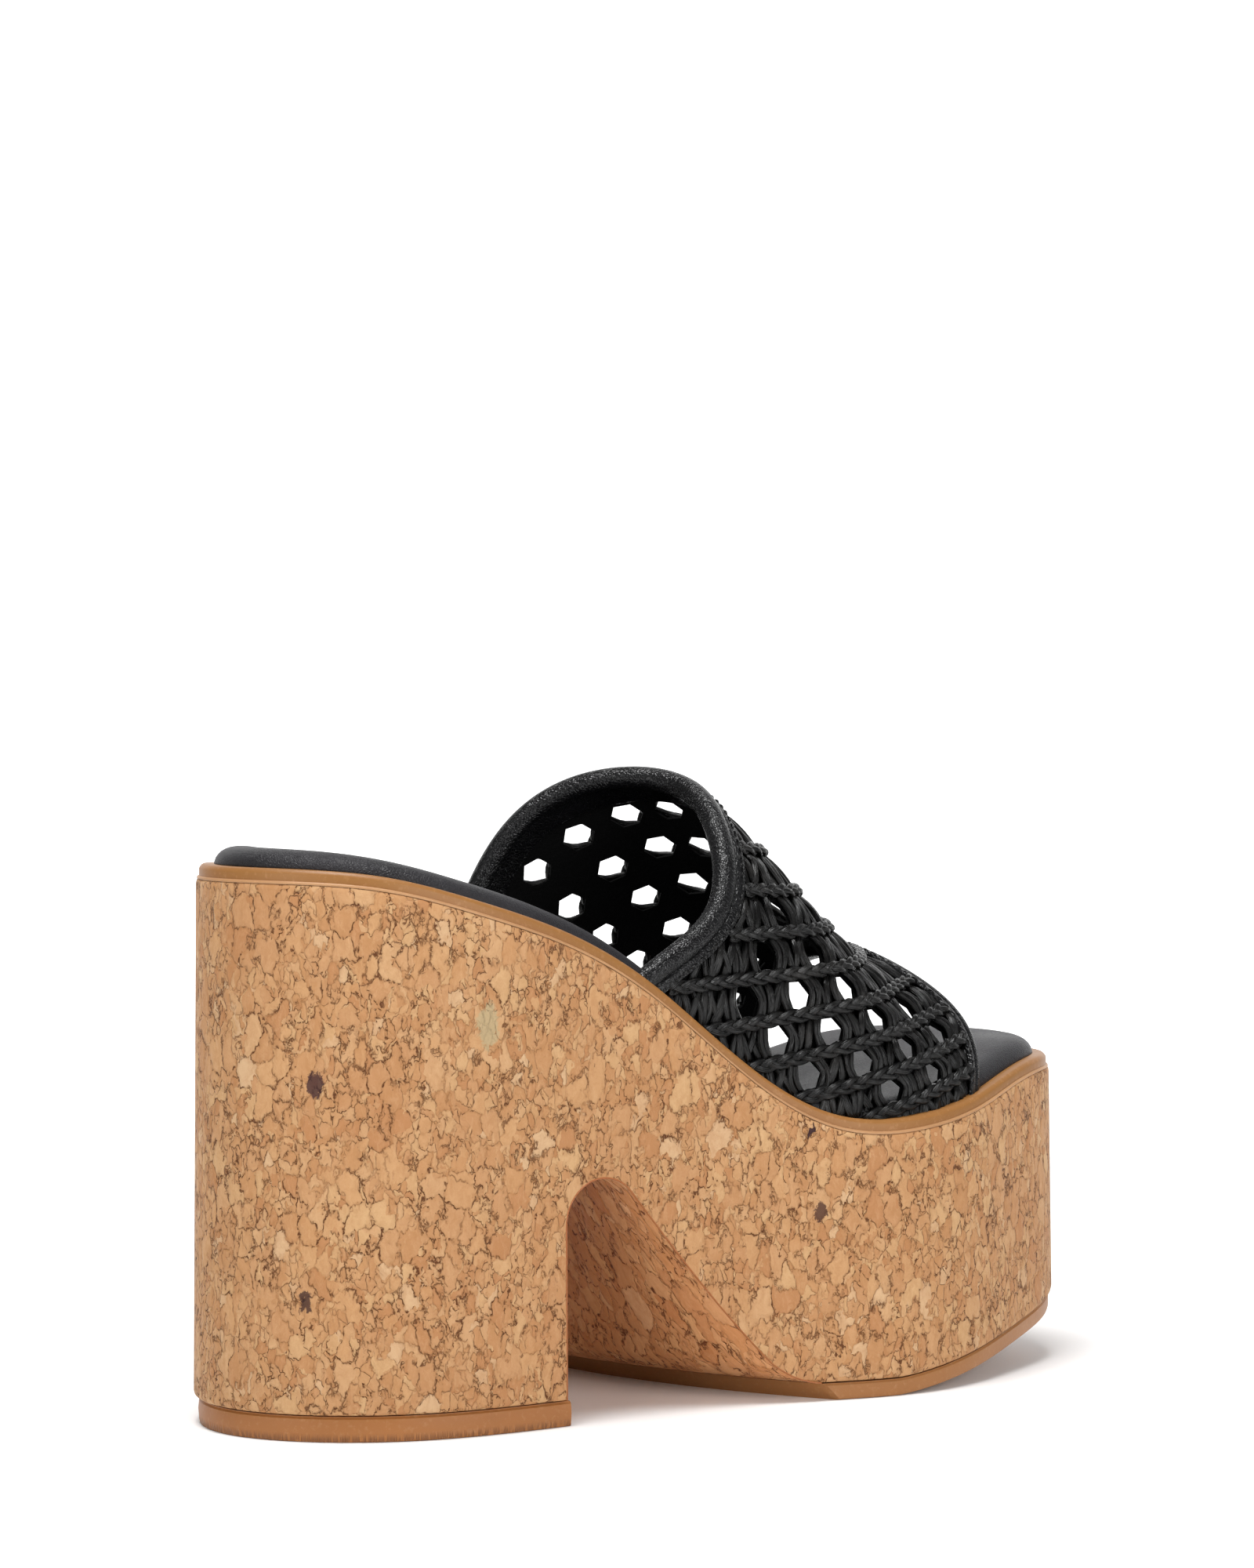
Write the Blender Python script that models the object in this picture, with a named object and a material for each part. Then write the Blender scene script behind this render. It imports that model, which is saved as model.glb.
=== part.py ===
"""A right high-heeled mule: cork platform and block heel, open-work vamp, as separate solids in metres."""
import math

import bmesh
import bpy
import numpy as np
from mathutils.geometry import delaunay_2d_cdt

# Driving sizes, in metres. +X points to the toe, +Y to the medial side, +Z up.
LENGTH = 0.230
BALL_WIDTH = 0.096
HEEL_WIDTH = 0.0796
HEEL_HEIGHT = 0.1225
BALL_HEIGHT = 0.0617
TOE_SPRING = 0.0136
GAP = 0.0003
# The origin lies on the floor at the middle of the heel's flat rest, this far from the heel's back.
HEEL_REST = 0.034

# The outline from above: place along the length, and half width of each side as shares of the named width.
OUTLINE_COLUMNS = ("along", "lateral", "medial", "width")
OUTLINE = (
    (0.000, 0.000, 0.000, HEEL_WIDTH),
    (0.020, 0.195, 0.195, HEEL_WIDTH),
    (0.060, 0.327, 0.327, HEEL_WIDTH),
    (0.140, 0.452, 0.452, HEEL_WIDTH),
    (0.260, 0.496, 0.496, HEEL_WIDTH),
    (0.400, 0.492, 0.503, HEEL_WIDTH),
    (0.540, 0.440, 0.440, BALL_WIDTH),
    (0.660, 0.510, 0.484, BALL_WIDTH),
    (0.760, 0.497, 0.523, BALL_WIDTH),
    (0.860, 0.401, 0.505, BALL_WIDTH),
    (0.940, 0.294, 0.360, BALL_WIDTH),
    (0.985, 0.160, 0.160, BALL_WIDTH),
    (1.000, 0.000, 0.000, BALL_WIDTH),
)

# The cork's top seen from the side: shares of the rise from ball to heel, and of the toe spring.
PROFILE_COLUMNS = ("along", "pitch", "spring")
PROFILE = (
    (0.0, 1.000, 0.00),
    (0.1, 0.977, 0.00),
    (0.2, 0.880, 0.00),
    (0.3, 0.753, 0.00),
    (0.4, 0.553, 0.00),
    (0.5, 0.260, 0.00),
    (0.6, 0.028, 0.00),
    (0.7, 0.000, 0.00),
    (0.8, 0.000, 0.28),
    (0.9, 0.000, 0.66),
    (1.0, 0.000, 0.69),
)

# Heel block, arch and forefoot rubber.
HEEL_FRONT = 0.0678
ARCH_HEIGHT = 0.0552
ARCH_RADIUS = 0.0101
ARCH_STEPS = 12
FOOT_RUN = 0.0112
FOOT_RISE = 0.0050
WALL_FLARE = 0.0008
CORK_ROUND = 0.0012
LIFT_THICKNESS = 0.0057
LIFT_INSET = 0.0012
LIFT_STEP = 0.0018
SOLE_START = 0.100
SOLE_THICKNESS = 0.0040
SOLE_UNDERCUT = 0.0065
SOLE_INSET = 0.0008
RUBBER_ROUND = 0.0008
TREAD_FRONT = 0.155
TREAD_POWER = 1.2

# The sole's rear edge, where the arch's slope also ends: shares of half the ball's width and of the length.
SOLE_BACK_COLUMNS = ("across", "along")
SOLE_BACK = (
    (-1.0, 0.5974),
    (-0.5, 0.5391),
    (0.0, 0.4987),
    (0.5, 0.4752),
    (1.0, 0.4696),
)

# Welt and insole on the cork's top.
WELT_INSET = 0.0007
WELT_WIDTH = 0.0030
WELT_HEIGHT = 0.0030
WELT_BEVEL = 0.0009
PAD_HEIGHT = 0.0075
PAD_ROUND = 0.0065
PAD_NOTCH = 0.0060
PAD_RAMP = 0.006

# The vamp is one wall over the instep. Crest rows: place along, height over the cork and sideways shift.
WALL = 0.0020
VAMP_SEAT = 0.0008
INSTEP_HEIGHT = 0.0726
CREST_COLUMNS = ("along", "height", "shift")
CREST = (
    (0.340, 1.115, 0.016),
    (0.392, 1.061, 0.020),
    (0.500, 1.000, 0.028),
    (0.609, 0.927, 0.038),
    (0.717, 0.588, 0.048),
    (0.826, 0.438, 0.057),
    (0.900, 0.390, 0.060),
)
SIDE_FULLNESS = 1.06

# Edges of the vamp: turn over the foot from lateral base to medial base, in degrees, and place along.
EDGE_COLUMNS = ("turn", "collar", "toe")
EDGES = (
    (0.0, 0.395, 0.795),
    (30.0, 0.506, 0.812),
    (60.0, 0.546, 0.787),
    (90.0, 0.551, 0.769),
    (120.0, 0.497, 0.776),
    (150.0, 0.427, 0.788),
    (180.0, 0.370, 0.795),
)
EDGE_STEPS = 30

# The open-work: ridges joined by tufts, with a hole between each two tufts. Rows are numbered toward the toe.
# On the lateral side they lie level, row 0 at ROW_TOP over the ball at the pivot, and close up toward the toe
# by the share ROW_CLOSE per metre. On the medial side they run down from the crest, and the table has the
# place along of row MEDIAL_ROW at turns over the foot. Bands before MEDIAL_LAST have holes at MEDIAL_TURNS, and
# each later one has a hole at HOLE_ANCHOR on the lateral side, or half a pitch from it.
ROW_FIRST = -7
ROW_LAST = 5
ROW_PITCH = 0.0091
ROW_TOP = 0.0456
ROW_SLOPE = -0.0144
ROW_CLOSE = 6.07
ROW_PIVOT = 0.138
MEDIAL_ROW = -3.5
MEDIAL_PITCH = 0.0105
MEDIAL_COLUMNS = ("turn", "along")
MEDIAL_LINE = (
    (90.0, 0.5565),
    (103.0, 0.5726),
    (119.0, 0.5874),
    (137.0, 0.5930),
    (151.0, 0.5991),
    (180.0, 0.6043),
)
CREST_BLEND = (70.0, 110.0)
RIDGE_WIDTH = 0.0030
RIDGE_HEIGHT = 0.0012
RIDGE_STEP = 0.0072
STITCH_PITCH = 0.0145
STITCH_PHASE = 0.5
ROW_GRID = (240, 1081)
HOLE_ANCHOR = 0.1421
MEDIAL_LAST = -2
MEDIAL_TURNS = (56.0, 72.0, 88.0, 104.0, 119.0, 135.5, 151.5, 167.0)
HOLE_WIDTH = 0.0066
HOLE_MARGIN = 0.0003
TUFT_HEIGHT = 0.0007

# Binding of each edge, as a section: outward from the vamp's edge, and off its middle surface.
SLOT = 0.0006
COLLAR_ROLL = 0.0030
COLLAR_OUTER_FLANGE = 0.0046
COLLAR_FACING = 0.0060
TOE_ROLL = 0.0018
TOE_FLANGE = 0.0032
FLANGE_THICKNESS = 0.0007

SIDE_STEPS = 34
LATERAL = -1
MEDIAL = 1

CORK = ((0.62, 0.40, 0.24), 0.75)
TAN_RUBBER = ((0.30, 0.17, 0.09), 0.45)
TAN_WELT = ((0.40, 0.24, 0.13), 0.50)
GREY_LEATHER = ((0.10, 0.09, 0.095), 0.50)
BLACK_LEATHER = ((0.012, 0.012, 0.012), 0.45)
CHARCOAL_CORD = ((0.02, 0.018, 0.018), 0.80)


def column(rows, names, name):
    """One named column of a table as an array."""
    return np.array([row[names.index(name)] for row in rows])


def through(knots, values, at):
    """Natural cubic spline through the rows of a table, level beyond its ends."""
    gap = np.diff(knots)
    count = len(knots)
    system = np.eye(count)
    right = np.zeros(count)
    for k in range(1, count - 1):
        system[k, k - 1:k + 2] = gap[k - 1], 2 * (gap[k - 1] + gap[k]), gap[k]
        right[k] = 6 * ((values[k + 1] - values[k]) / gap[k] - (values[k] - values[k - 1]) / gap[k - 1])
    bend = np.linalg.solve(system, right)
    at = np.clip(at, knots[0], knots[-1])
    k = np.clip(np.searchsorted(knots, at) - 1, 0, count - 2)
    a = (knots[k + 1] - at) / gap[k]
    b = 1 - a
    curve = ((a**3 - a) * bend[k] + (b**3 - b) * bend[k + 1]) * gap[k]**2 / 6
    return a * values[k] + b * values[k + 1] + curve


def turn_at(x):
    """The outline's angle at a place along, 0 at the heel's back and pi at the toe."""
    return np.arccos(1 - 2 * np.clip(x / LENGTH, 0, 1))


def half_width(turn, side):
    """Half width of the outline on one side."""
    turns = np.arccos(1 - 2 * column(OUTLINE, OUTLINE_COLUMNS, "along"))
    name = "lateral" if side == LATERAL else "medial"
    widths = column(OUTLINE, OUTLINE_COLUMNS, name) * column(OUTLINE, OUTLINE_COLUMNS, "width")
    return through(turns, widths, turn)


def cork_top(x):
    """Height of the cork's top face."""
    along = column(PROFILE, PROFILE_COLUMNS, "along") * LENGTH
    pitch = through(along, column(PROFILE, PROFILE_COLUMNS, "pitch"), x)
    spring = through(along, column(PROFILE, PROFILE_COLUMNS, "spring"), x)
    return BALL_HEIGHT + pitch * (HEEL_HEIGHT - BALL_HEIGHT) + spring * TOE_SPRING


def tread(x):
    """Underside of the forefoot: flat under the ball, then rising to the toe."""
    share = np.clip((x - TREAD_FRONT) / (LENGTH - TREAD_FRONT), 0, None)
    return TOE_SPRING * share**TREAD_POWER


def cork_foot(x):
    """Underside of the cork, on the heel's lift and on the forefoot rubber."""
    sole = tread(x) + SOLE_THICKNESS + GAP
    return np.where(x < (HEEL_FRONT + SOLE_START) / 2, LIFT_THICKNESS + GAP, sole)


def vamp_place(x):
    """0 outside the stretch that the vamp takes at the insole's edge, 1 inside it, with soft ramps."""
    base = EDGES[0]
    start = base[1] * LENGTH - COLLAR_FACING
    end = base[2] * LENGTH + TOE_FLANGE
    rise = np.clip((x - start + PAD_RAMP) / PAD_RAMP, 0, 1)
    fall = np.clip((end + PAD_RAMP - x) / PAD_RAMP, 0, 1)
    inside = np.minimum(rise, fall)
    return inside * inside * (3 - 2 * inside)


def edge(turn, side, inset):
    """Points of the outline moved inward by inset, square to the outline."""
    step = 1e-4
    x = LENGTH * (1 - np.cos(turn)) / 2
    slope_x = LENGTH * np.sin(turn) / 2
    before = half_width(np.clip(turn - step, 0, math.pi), side)
    after = half_width(np.clip(turn + step, 0, math.pi), side)
    taken = np.clip(turn + step, 0, math.pi) - np.clip(turn - step, 0, math.pi)
    slope_y = (after - before) / taken
    size = np.hypot(slope_x, slope_y)
    moved_x = x + inset * slope_y / size
    moved_y = np.maximum(half_width(turn, side) - inset * slope_x / size, 0)
    return np.stack([moved_x, side * moved_y], axis=-1)


def build(name, points, faces, look):
    """A closed body from points and faces, with its own material."""
    form = bmesh.new()
    corners = [form.verts.new((x - HEEL_REST, y, z)) for x, y, z in points]
    for face in faces:
        form.faces.new([corners[k] for k in face])
    bmesh.ops.remove_doubles(form, verts=form.verts, dist=1e-6)
    bmesh.ops.triangulate(form, faces=form.faces)
    bmesh.ops.recalc_face_normals(form, faces=form.faces)
    mesh = bpy.data.meshes.new(name)
    form.to_mesh(mesh)
    form.free()
    thing = bpy.data.objects.new(name, mesh)
    bpy.context.collection.objects.link(thing)
    if look:
        colour, roughness = look
        material = bpy.data.materials.new(name)
        material.use_nodes = True
        shader = material.node_tree.nodes["Principled BSDF"]
        shader.inputs["Base Color"].default_value = (*colour, 1)
        shader.inputs["Roughness"].default_value = roughness
        mesh.materials.append(material)
    return thing


def cut(thing, cutter):
    """Takes the cutter's body out of a thing."""
    cutter.hide_render = True
    cutter.display_type = "WIRE"
    change = thing.modifiers.new("cut", "BOOLEAN")
    change.operation = "DIFFERENCE"
    change.object = cutter


def slab(name, start, end, steps, levels, look):
    """A body between start and end along the outline, with a ring for each level of inset and height."""
    turns = np.linspace(turn_at(start), turn_at(end), steps + 1)
    points = []
    for inset, height in levels:
        base_x = LENGTH * (1 - np.cos(turns)) / 2
        here = inset(base_x) if callable(inset) else inset
        sides = [edge(turns, side, here) for side in (LATERAL, MEDIAL)]
        for points_side in sides:
            if start > 0:
                points_side[0, 0] = start
        ring = np.concatenate([sides[0], sides[1][::-1]])
        points.append(np.column_stack([ring, height(ring[:, 0])]))
    around = 2 * (steps + 1)
    faces = []
    for level in range(len(levels) - 1):
        for k in range(around):
            n = (k + 1) % around
            low = level * around
            high = low + around
            faces.append((low + k, low + n, high + n, high + k))
    for level in (0, len(levels) - 1):
        base = level * around
        for k in range(steps):
            faces.append((base + k, base + k + 1, base + around - 2 - k, base + around - 1 - k))
    return build(name, np.concatenate(points), clean(np.concatenate(points), faces), look)


def clean(points, faces):
    """Drops the corners of a face that fall on one point, and faces that shrink to a line."""
    kept = []
    for face in faces:
        corners = []
        for k in face:
            if all(np.abs(points[k] - points[other]).max() > 1e-6 for other in corners):
                corners.append(k)
        if len(corners) > 2:
            kept.append(tuple(corners))
    return kept


def rim_ring(profile, steps):
    """Stations round the whole outline, each with the profile's insets and heights over the cork."""
    turns = np.linspace(0, math.pi, steps + 1)
    rings = []
    for inset, rise in profile:
        lateral = edge(turns, LATERAL, inset)
        medial = edge(turns[-2:0:-1], MEDIAL, inset)
        ring = np.concatenate([lateral, medial])
        rings.append(np.column_stack([ring, cork_top(ring[:, 0]) + rise]))
    return np.stack(rings, axis=1)


def closed_sweep(stations, closed_path):
    """Points and faces of a section carried along stations, capped at the ends of an open path."""
    count, size = stations.shape[:2]
    faces = []
    for k in range(count if closed_path else count - 1):
        n = (k + 1) % count
        for j in range(size):
            m = (j + 1) % size
            faces.append((k * size + j, n * size + j, n * size + m, k * size + m))
    if not closed_path:
        faces.append(tuple(range(size)))
        faces.append(tuple(range((count - 1) * size, count * size)))
    return stations.reshape(-1, 3), faces


def vamp_base(x, side):
    """Half width of the vamp's middle surface at the insole."""
    step = 1e-4
    turn = turn_at(x)
    slope = (half_width(turn_at(x + step), side) - half_width(turn_at(x - step), side)) / (2 * step)
    inset = WELT_INSET + WELT_WIDTH + GAP + WALL / 2
    return half_width(turn, side) - inset * np.sqrt(1 + slope**2)


def crest_height(x):
    """Height of the vamp's crest over its seat."""
    along = column(CREST, CREST_COLUMNS, "along") * LENGTH
    return through(along, column(CREST, CREST_COLUMNS, "height"), x) * INSTEP_HEIGHT


def vamp_point(x, turn):
    """A point of the vamp's middle surface: half an ellipse over the foot in each section."""
    along = column(CREST, CREST_COLUMNS, "along") * LENGTH
    height = crest_height(x)
    shift = through(along, column(CREST, CREST_COLUMNS, "shift"), x) * BALL_WIDTH
    across = np.cos(turn)
    reach = np.abs(across)**SIDE_FULLNESS
    y = np.where(across > 0, -vamp_base(x, LATERAL) * reach, vamp_base(x, MEDIAL) * reach)
    y = y + shift * np.sin(turn)**2
    z = cork_top(x) + VAMP_SEAT + height * np.sin(turn)
    return np.stack([x, y, z], axis=-1)


def vamp_frame(x, turn):
    """Slopes of the middle surface along and across, and its outward normal."""
    step = 1e-5
    along = (vamp_point(x + step, turn) - vamp_point(x - step, turn)) / (2 * step)
    across = (vamp_point(x, turn + step) - vamp_point(x, turn - step)) / (2 * step)
    normal = np.cross(along, across)
    normal /= np.linalg.norm(normal, axis=-1, keepdims=True)
    return along, across, normal


def vamp_edge(turn, name):
    """Place along of the collar or toe edge at a turn over the foot."""
    turns = np.radians(column(EDGES, EDGE_COLUMNS, "turn"))
    return through(turns, column(EDGES, EDGE_COLUMNS, name) * LENGTH, turn)


def row_at(x, turn):
    """The row number of a place: by height on the lateral side, by place along on the medial side."""
    ahead = x - ROW_PIVOT
    pitch = ROW_PITCH * (1 - ROW_CLOSE * ahead)
    lateral = (BALL_HEIGHT + ROW_TOP + ROW_SLOPE * ahead - vamp_point(x, turn)[..., 2]) / pitch
    turns = np.radians(column(MEDIAL_LINE, MEDIAL_COLUMNS, "turn"))
    line = through(turns, column(MEDIAL_LINE, MEDIAL_COLUMNS, "along") * LENGTH, turn)
    medial = MEDIAL_ROW + (x - line) / MEDIAL_PITCH
    begin, end = np.radians(CREST_BLEND)
    share = np.clip((turn - begin) / (end - begin), 0, 1)
    share = share * share * (3 - 2 * share)
    return lateral * (1 - share) + medial * share


def row_grid():
    """Places along, turns and the row numbers at all of them."""
    along = column(CREST, CREST_COLUMNS, "along") * LENGTH
    x = np.linspace(along[0], along[-1], ROW_GRID[0])
    turn = np.linspace(0, math.pi, ROW_GRID[1])
    return x, turn, row_at(*np.meshgrid(x, turn, indexing="ij"))


def row_line(grid, number):
    """Places and turns along one row, from the lateral base over the crest to the medial base."""
    x, turn, numbers = grid
    place = np.array([np.interp(number, numbers[:, k], x) for k in range(len(turn))])
    reached = (numbers[0] < number) & (numbers[-1] > number)
    return place, turn, reached


def stretches(place, turn, reached, collar_margin, toe_margin):
    """Runs of a row that lie inside the vamp, each as places, turns and lengths from its start."""
    inside = reached & (place > vamp_edge(turn, "collar") + collar_margin)
    inside &= place < vamp_edge(turn, "toe") - toe_margin
    inside &= vamp_point(place, turn)[:, 2] > cork_top(place) + WELT_HEIGHT + RIDGE_WIDTH / 2 + GAP
    marks = np.flatnonzero(np.diff(np.concatenate([[0], inside.astype(int), [0]])))
    for begin, stop in marks.reshape(-1, 2):
        if stop - begin > 3:
            points = vamp_point(place[begin:stop], turn[begin:stop])
            steps = np.linalg.norm(np.diff(points, axis=0), axis=1)
            yield place[begin:stop], turn[begin:stop], np.concatenate([[0], np.cumsum(steps)])


def shifted(x, turn, ahead, offsets):
    """Places and turns a given way along and across a row, offsets being pairs on the surface."""
    along, across, normal = vamp_frame(x, turn)
    beside = np.cross(normal, ahead)
    grid = np.column_stack([along, across])
    moves = offsets[:, :1] * ahead + offsets[:, 1:] * beside
    change = moves @ np.linalg.pinv(grid).T
    return x + change[:, 0], turn + change[:, 1]


def row_direction(place, turn, length, at):
    """Place, turn and unit direction of a row at a length from its start."""
    reach = RIDGE_WIDTH
    spots = np.clip([at - reach, at, at + reach], 0, length[-1])
    x = np.interp(spots, length, place)
    angle = np.interp(spots, length, turn)
    points = vamp_point(x, angle)
    ahead = points[2] - points[0]
    return x[1], angle[1], ahead / np.linalg.norm(ahead)


class Sheet:
    """The vamp laid out flat, as place along and turn over the foot, with ridges, tufts and holes."""

    turn_scale = BALL_WIDTH * 0.42

    def __init__(self):
        self.spots = []
        self.heights = []
        self.lines = []
        self.areas = []

    def add(self, x, turn, height):
        """Adds points and returns their numbers."""
        first = len(self.spots)
        for place, angle in zip(np.atleast_1d(x), np.atleast_1d(turn)):
            self.spots.append((place, angle))
            self.heights.append(height)
        return list(range(first, len(self.spots)))

    def line(self, numbers):
        """Keeps a run of points as edges."""
        self.lines += list(zip(numbers[:-1], numbers[1:]))

    def area(self, numbers):
        """Keeps a ring of points as an area, counter-clockwise."""
        ring = np.array([self.spots[k] for k in numbers])
        after = np.roll(ring, -1, axis=0)
        turning = np.sum(ring[:, 0] * after[:, 1] - ring[:, 1] * after[:, 0])
        self.areas.append(numbers if turning > 0 else numbers[::-1])

    def mesh(self):
        """Outer and inner points with the faces between them, holes left open."""
        flat = [(x * 1000, turn * self.turn_scale * 1000) for x, turn in self.spots]
        result = delaunay_2d_cdt(flat, self.lines, self.areas, 1, 1e-6, True)
        places, _, triangles, sources, _, owners = result
        x = np.array([place[0] for place in places]) / 1000
        turn = np.array([place[1] for place in places]) / (self.turn_scale * 1000)
        height = np.array([max([self.heights[k] for k in source], default=0) for source in sources])
        kept = [tri for tri, owner in zip(triangles, owners) if list(owner) == [0]]
        middle = vamp_point(x, turn)
        normal = vamp_frame(x, turn)[2]
        outer = middle + normal * (WALL / 2 + height)[:, None]
        inner = middle - normal * WALL / 2
        count = len(x)
        faces = [tuple(tri) for tri in kept]
        faces += [tuple(k + count for k in reversed(tri)) for tri in kept]
        sides = {(tri[k], tri[(k + 1) % 3]) for tri in kept for k in range(3)}
        rim = [pair for pair in sides if pair[::-1] not in sides]
        faces += [(b, a, a + count, b + count) for a, b in rim]
        used = sorted({k for face in faces for k in face})
        number = {k: n for n, k in enumerate(used)}
        points = np.concatenate([outer, inner])[used]
        return points, [tuple(number[k] for k in face) for face in faces]


def add_border(sheet):
    """The vamp's four edges as one closed area."""
    turns = np.linspace(0, math.pi, EDGE_STEPS + 1)
    collar = vamp_edge(turns, "collar")
    toe = vamp_edge(turns, "toe")
    base = np.linspace(0, 1, 13)[1:-1]
    medial = collar[-1] + (toe[-1] - collar[-1]) * base
    lateral = toe[0] + (collar[0] - toe[0]) * base
    numbers = sheet.add(collar, turns, 0)
    numbers += sheet.add(medial, np.full(len(base), math.pi), 0)
    numbers += sheet.add(toe[::-1], turns[::-1], 0)
    numbers += sheet.add(lateral, np.zeros(len(base)), 0)
    sheet.area(numbers)
    inner = turns[1:-1]
    sheet.line(sheet.add(vamp_edge(inner, "collar") + COLLAR_OUTER_FLANGE, inner, 0))
    sheet.line(sheet.add(vamp_edge(inner, "toe") - TOE_FLANGE, inner, 0))


def add_welt_line(sheet):
    """A line over the welt on each side, below which the wall stays plain."""
    for base, side in ((EDGES[0], 0), (EDGES[-1], math.pi)):
        x = np.linspace(base[1], base[2], EDGE_STEPS) * LENGTH
        rise = np.arcsin((WELT_HEIGHT + 2 * GAP - VAMP_SEAT) / crest_height(x))
        turn = np.abs(side - rise)
        inside = (x > vamp_edge(turn, "collar") + GAP) & (x < vamp_edge(turn, "toe") - GAP)
        sheet.line(sheet.add(x[inside], turn[inside], 0))


def add_ridges(sheet, grid):
    """Raised strips along the rows, each with a crest line and two foot lines."""
    collar_margin = COLLAR_OUTER_FLANGE + RIDGE_WIDTH
    toe_margin = TOE_FLANGE + RIDGE_WIDTH
    for number in range(ROW_FIRST, ROW_LAST + 1):
        for place, turn, length in stretches(*row_line(grid, number), collar_margin, toe_margin):
            count = max(1, round(length[-1] / RIDGE_STEP))
            lanes = [[], [], []]
            for at in np.linspace(0, length[-1], count + 1):
                x, angle, ahead = row_direction(place, turn, length, at)
                offsets = np.array([(0, -RIDGE_WIDTH / 2), (0, 0), (0, RIDGE_WIDTH / 2)])
                xs, angles = shifted(x, angle, ahead, offsets)
                for lane, px, pa, height in zip(lanes, xs, angles, (0, RIDGE_HEIGHT, 0)):
                    lane += sheet.add(px, pa, height)
            for lane in lanes:
                sheet.line(lane)


def hole_starts(place, turn, length, number):
    """Lengths along a band at which holes sit: at given turns on a band of the medial side, or else at each
    pitch, half a pitch on from those of the next band."""
    if number < MEDIAL_LAST:
        return np.interp(np.radians(MEDIAL_TURNS), turn, length)
    lateral = turn < math.pi / 2
    anchor = np.interp(HOLE_ANCHOR, place[lateral], length[lateral]) if lateral.any() else 0
    anchor += (number % 2) * STITCH_PHASE * STITCH_PITCH
    return np.arange(anchor % STITCH_PITCH, length[-1], STITCH_PITCH)


def add_holes(sheet, grid):
    """A six-sided hole at each pitch of a band, and a raised tuft midway between two."""
    collar_margin = COLLAR_OUTER_FLANGE + RIDGE_WIDTH / 2
    toe_margin = TOE_FLANGE + RIDGE_WIDTH / 2
    for number in range(ROW_FIRST - 1, ROW_LAST + 1):
        line = row_line(grid, number + 0.5)
        for place, turn, length in stretches(*line, collar_margin, toe_margin):
            starts = hole_starts(place, turn, length, number)
            for at in starts:
                add_hole(sheet, place, turn, length, at)
            for tuft in (starts[1:] + starts[:-1]) / 2:
                if RIDGE_WIDTH / 2 < tuft < length[-1] - RIDGE_WIDTH / 2:
                    x, angle, _ = row_direction(place, turn, length, tuft)
                    sheet.add(x, angle, TUFT_HEIGHT)


def add_hole(sheet, place, turn, length, at):
    """One hole, as high as its band allows there, if it fits between the ends."""
    half = HOLE_WIDTH / 2
    if at < half or at > length[-1] - half:
        return
    x, angle, ahead = row_direction(place, turn, length, at)
    across = np.array([(0, -RIDGE_WIDTH / 2), (0, RIDGE_WIDTH / 2)])
    climb = np.ptp(row_at(*shifted(x, angle, ahead, across))) / RIDGE_WIDTH
    tall = min(1 / climb / 2 - RIDGE_WIDTH / 2 - HOLE_MARGIN, half)
    corners = np.radians(np.arange(0, 360, 60))
    offsets = np.column_stack([half * np.cos(corners), tall * np.sin(corners) / math.sin(math.radians(60))])
    xs, angles = shifted(x, angle, ahead, offsets)
    heights = vamp_point(xs, angles)[:, 2] - cork_top(xs)
    if heights.min() > WELT_HEIGHT + GAP + HOLE_MARGIN:
        sheet.area(sheet.add(xs, angles, 0))


def binding(name, edge_name, outward, section, look):
    """A section carried along one edge of the vamp and trimmed on the welt."""
    beyond = math.pi / EDGE_STEPS
    turns = np.linspace(-beyond, math.pi + beyond, EDGE_STEPS + 3)
    x = vamp_edge(turns, edge_name)
    slope = (vamp_edge(turns + 1e-4, edge_name) - vamp_edge(turns - 1e-4, edge_name)) / 2e-4
    along, across, normal = vamp_frame(x, turns)
    path = across + along * slope[:, None]
    out = np.cross(path, normal)
    out /= np.linalg.norm(out, axis=1, keepdims=True)
    out *= np.sign(np.sum(out * along, axis=1))[:, None] * outward
    middle = vamp_point(x, turns)
    stations = np.stack([middle + out * t + normal * n for t, n in section], axis=1)
    thing = build(name, *closed_sweep(stations, False), look)
    cut(thing, base_cutter(name))
    return thing


def base_cutter(name):
    """Everything below the welt's top, wider than the shoe."""
    wide = -BALL_WIDTH / 4
    floor = BALL_HEIGHT / 2

    def bottom(x):
        return np.full_like(x, floor)

    def top(x):
        return cork_top(x) + WELT_HEIGHT + 2 * GAP

    return slab(name + "_trim", 0, LENGTH, SIDE_STEPS, [(wide, bottom), (wide, top)], None)


def roll_section(roll, outer_flange, facing):
    """U section: a flange outside, a roll past the edge and a facing inside, round the vamp's wall."""
    slot = WALL / 2 + SLOT
    skin = slot + FLANGE_THICKNESS
    tall = max(roll, skin)
    return (
        (-outer_flange, slot),
        (-outer_flange, skin),
        (-0.8 * roll, skin + 0.1 * roll),
        (-0.3 * roll, tall + 0.1 * roll),
        (0.35 * roll, tall),
        (0.85 * roll, 0.6 * tall),
        (roll, 0.0),
        (0.85 * roll, -0.6 * tall),
        (0.35 * roll, -tall),
        (-0.5 * roll, -skin),
        (-facing, -skin),
        (-facing, -slot),
        (SLOT, -slot),
        (SLOT, slot),
    )


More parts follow.
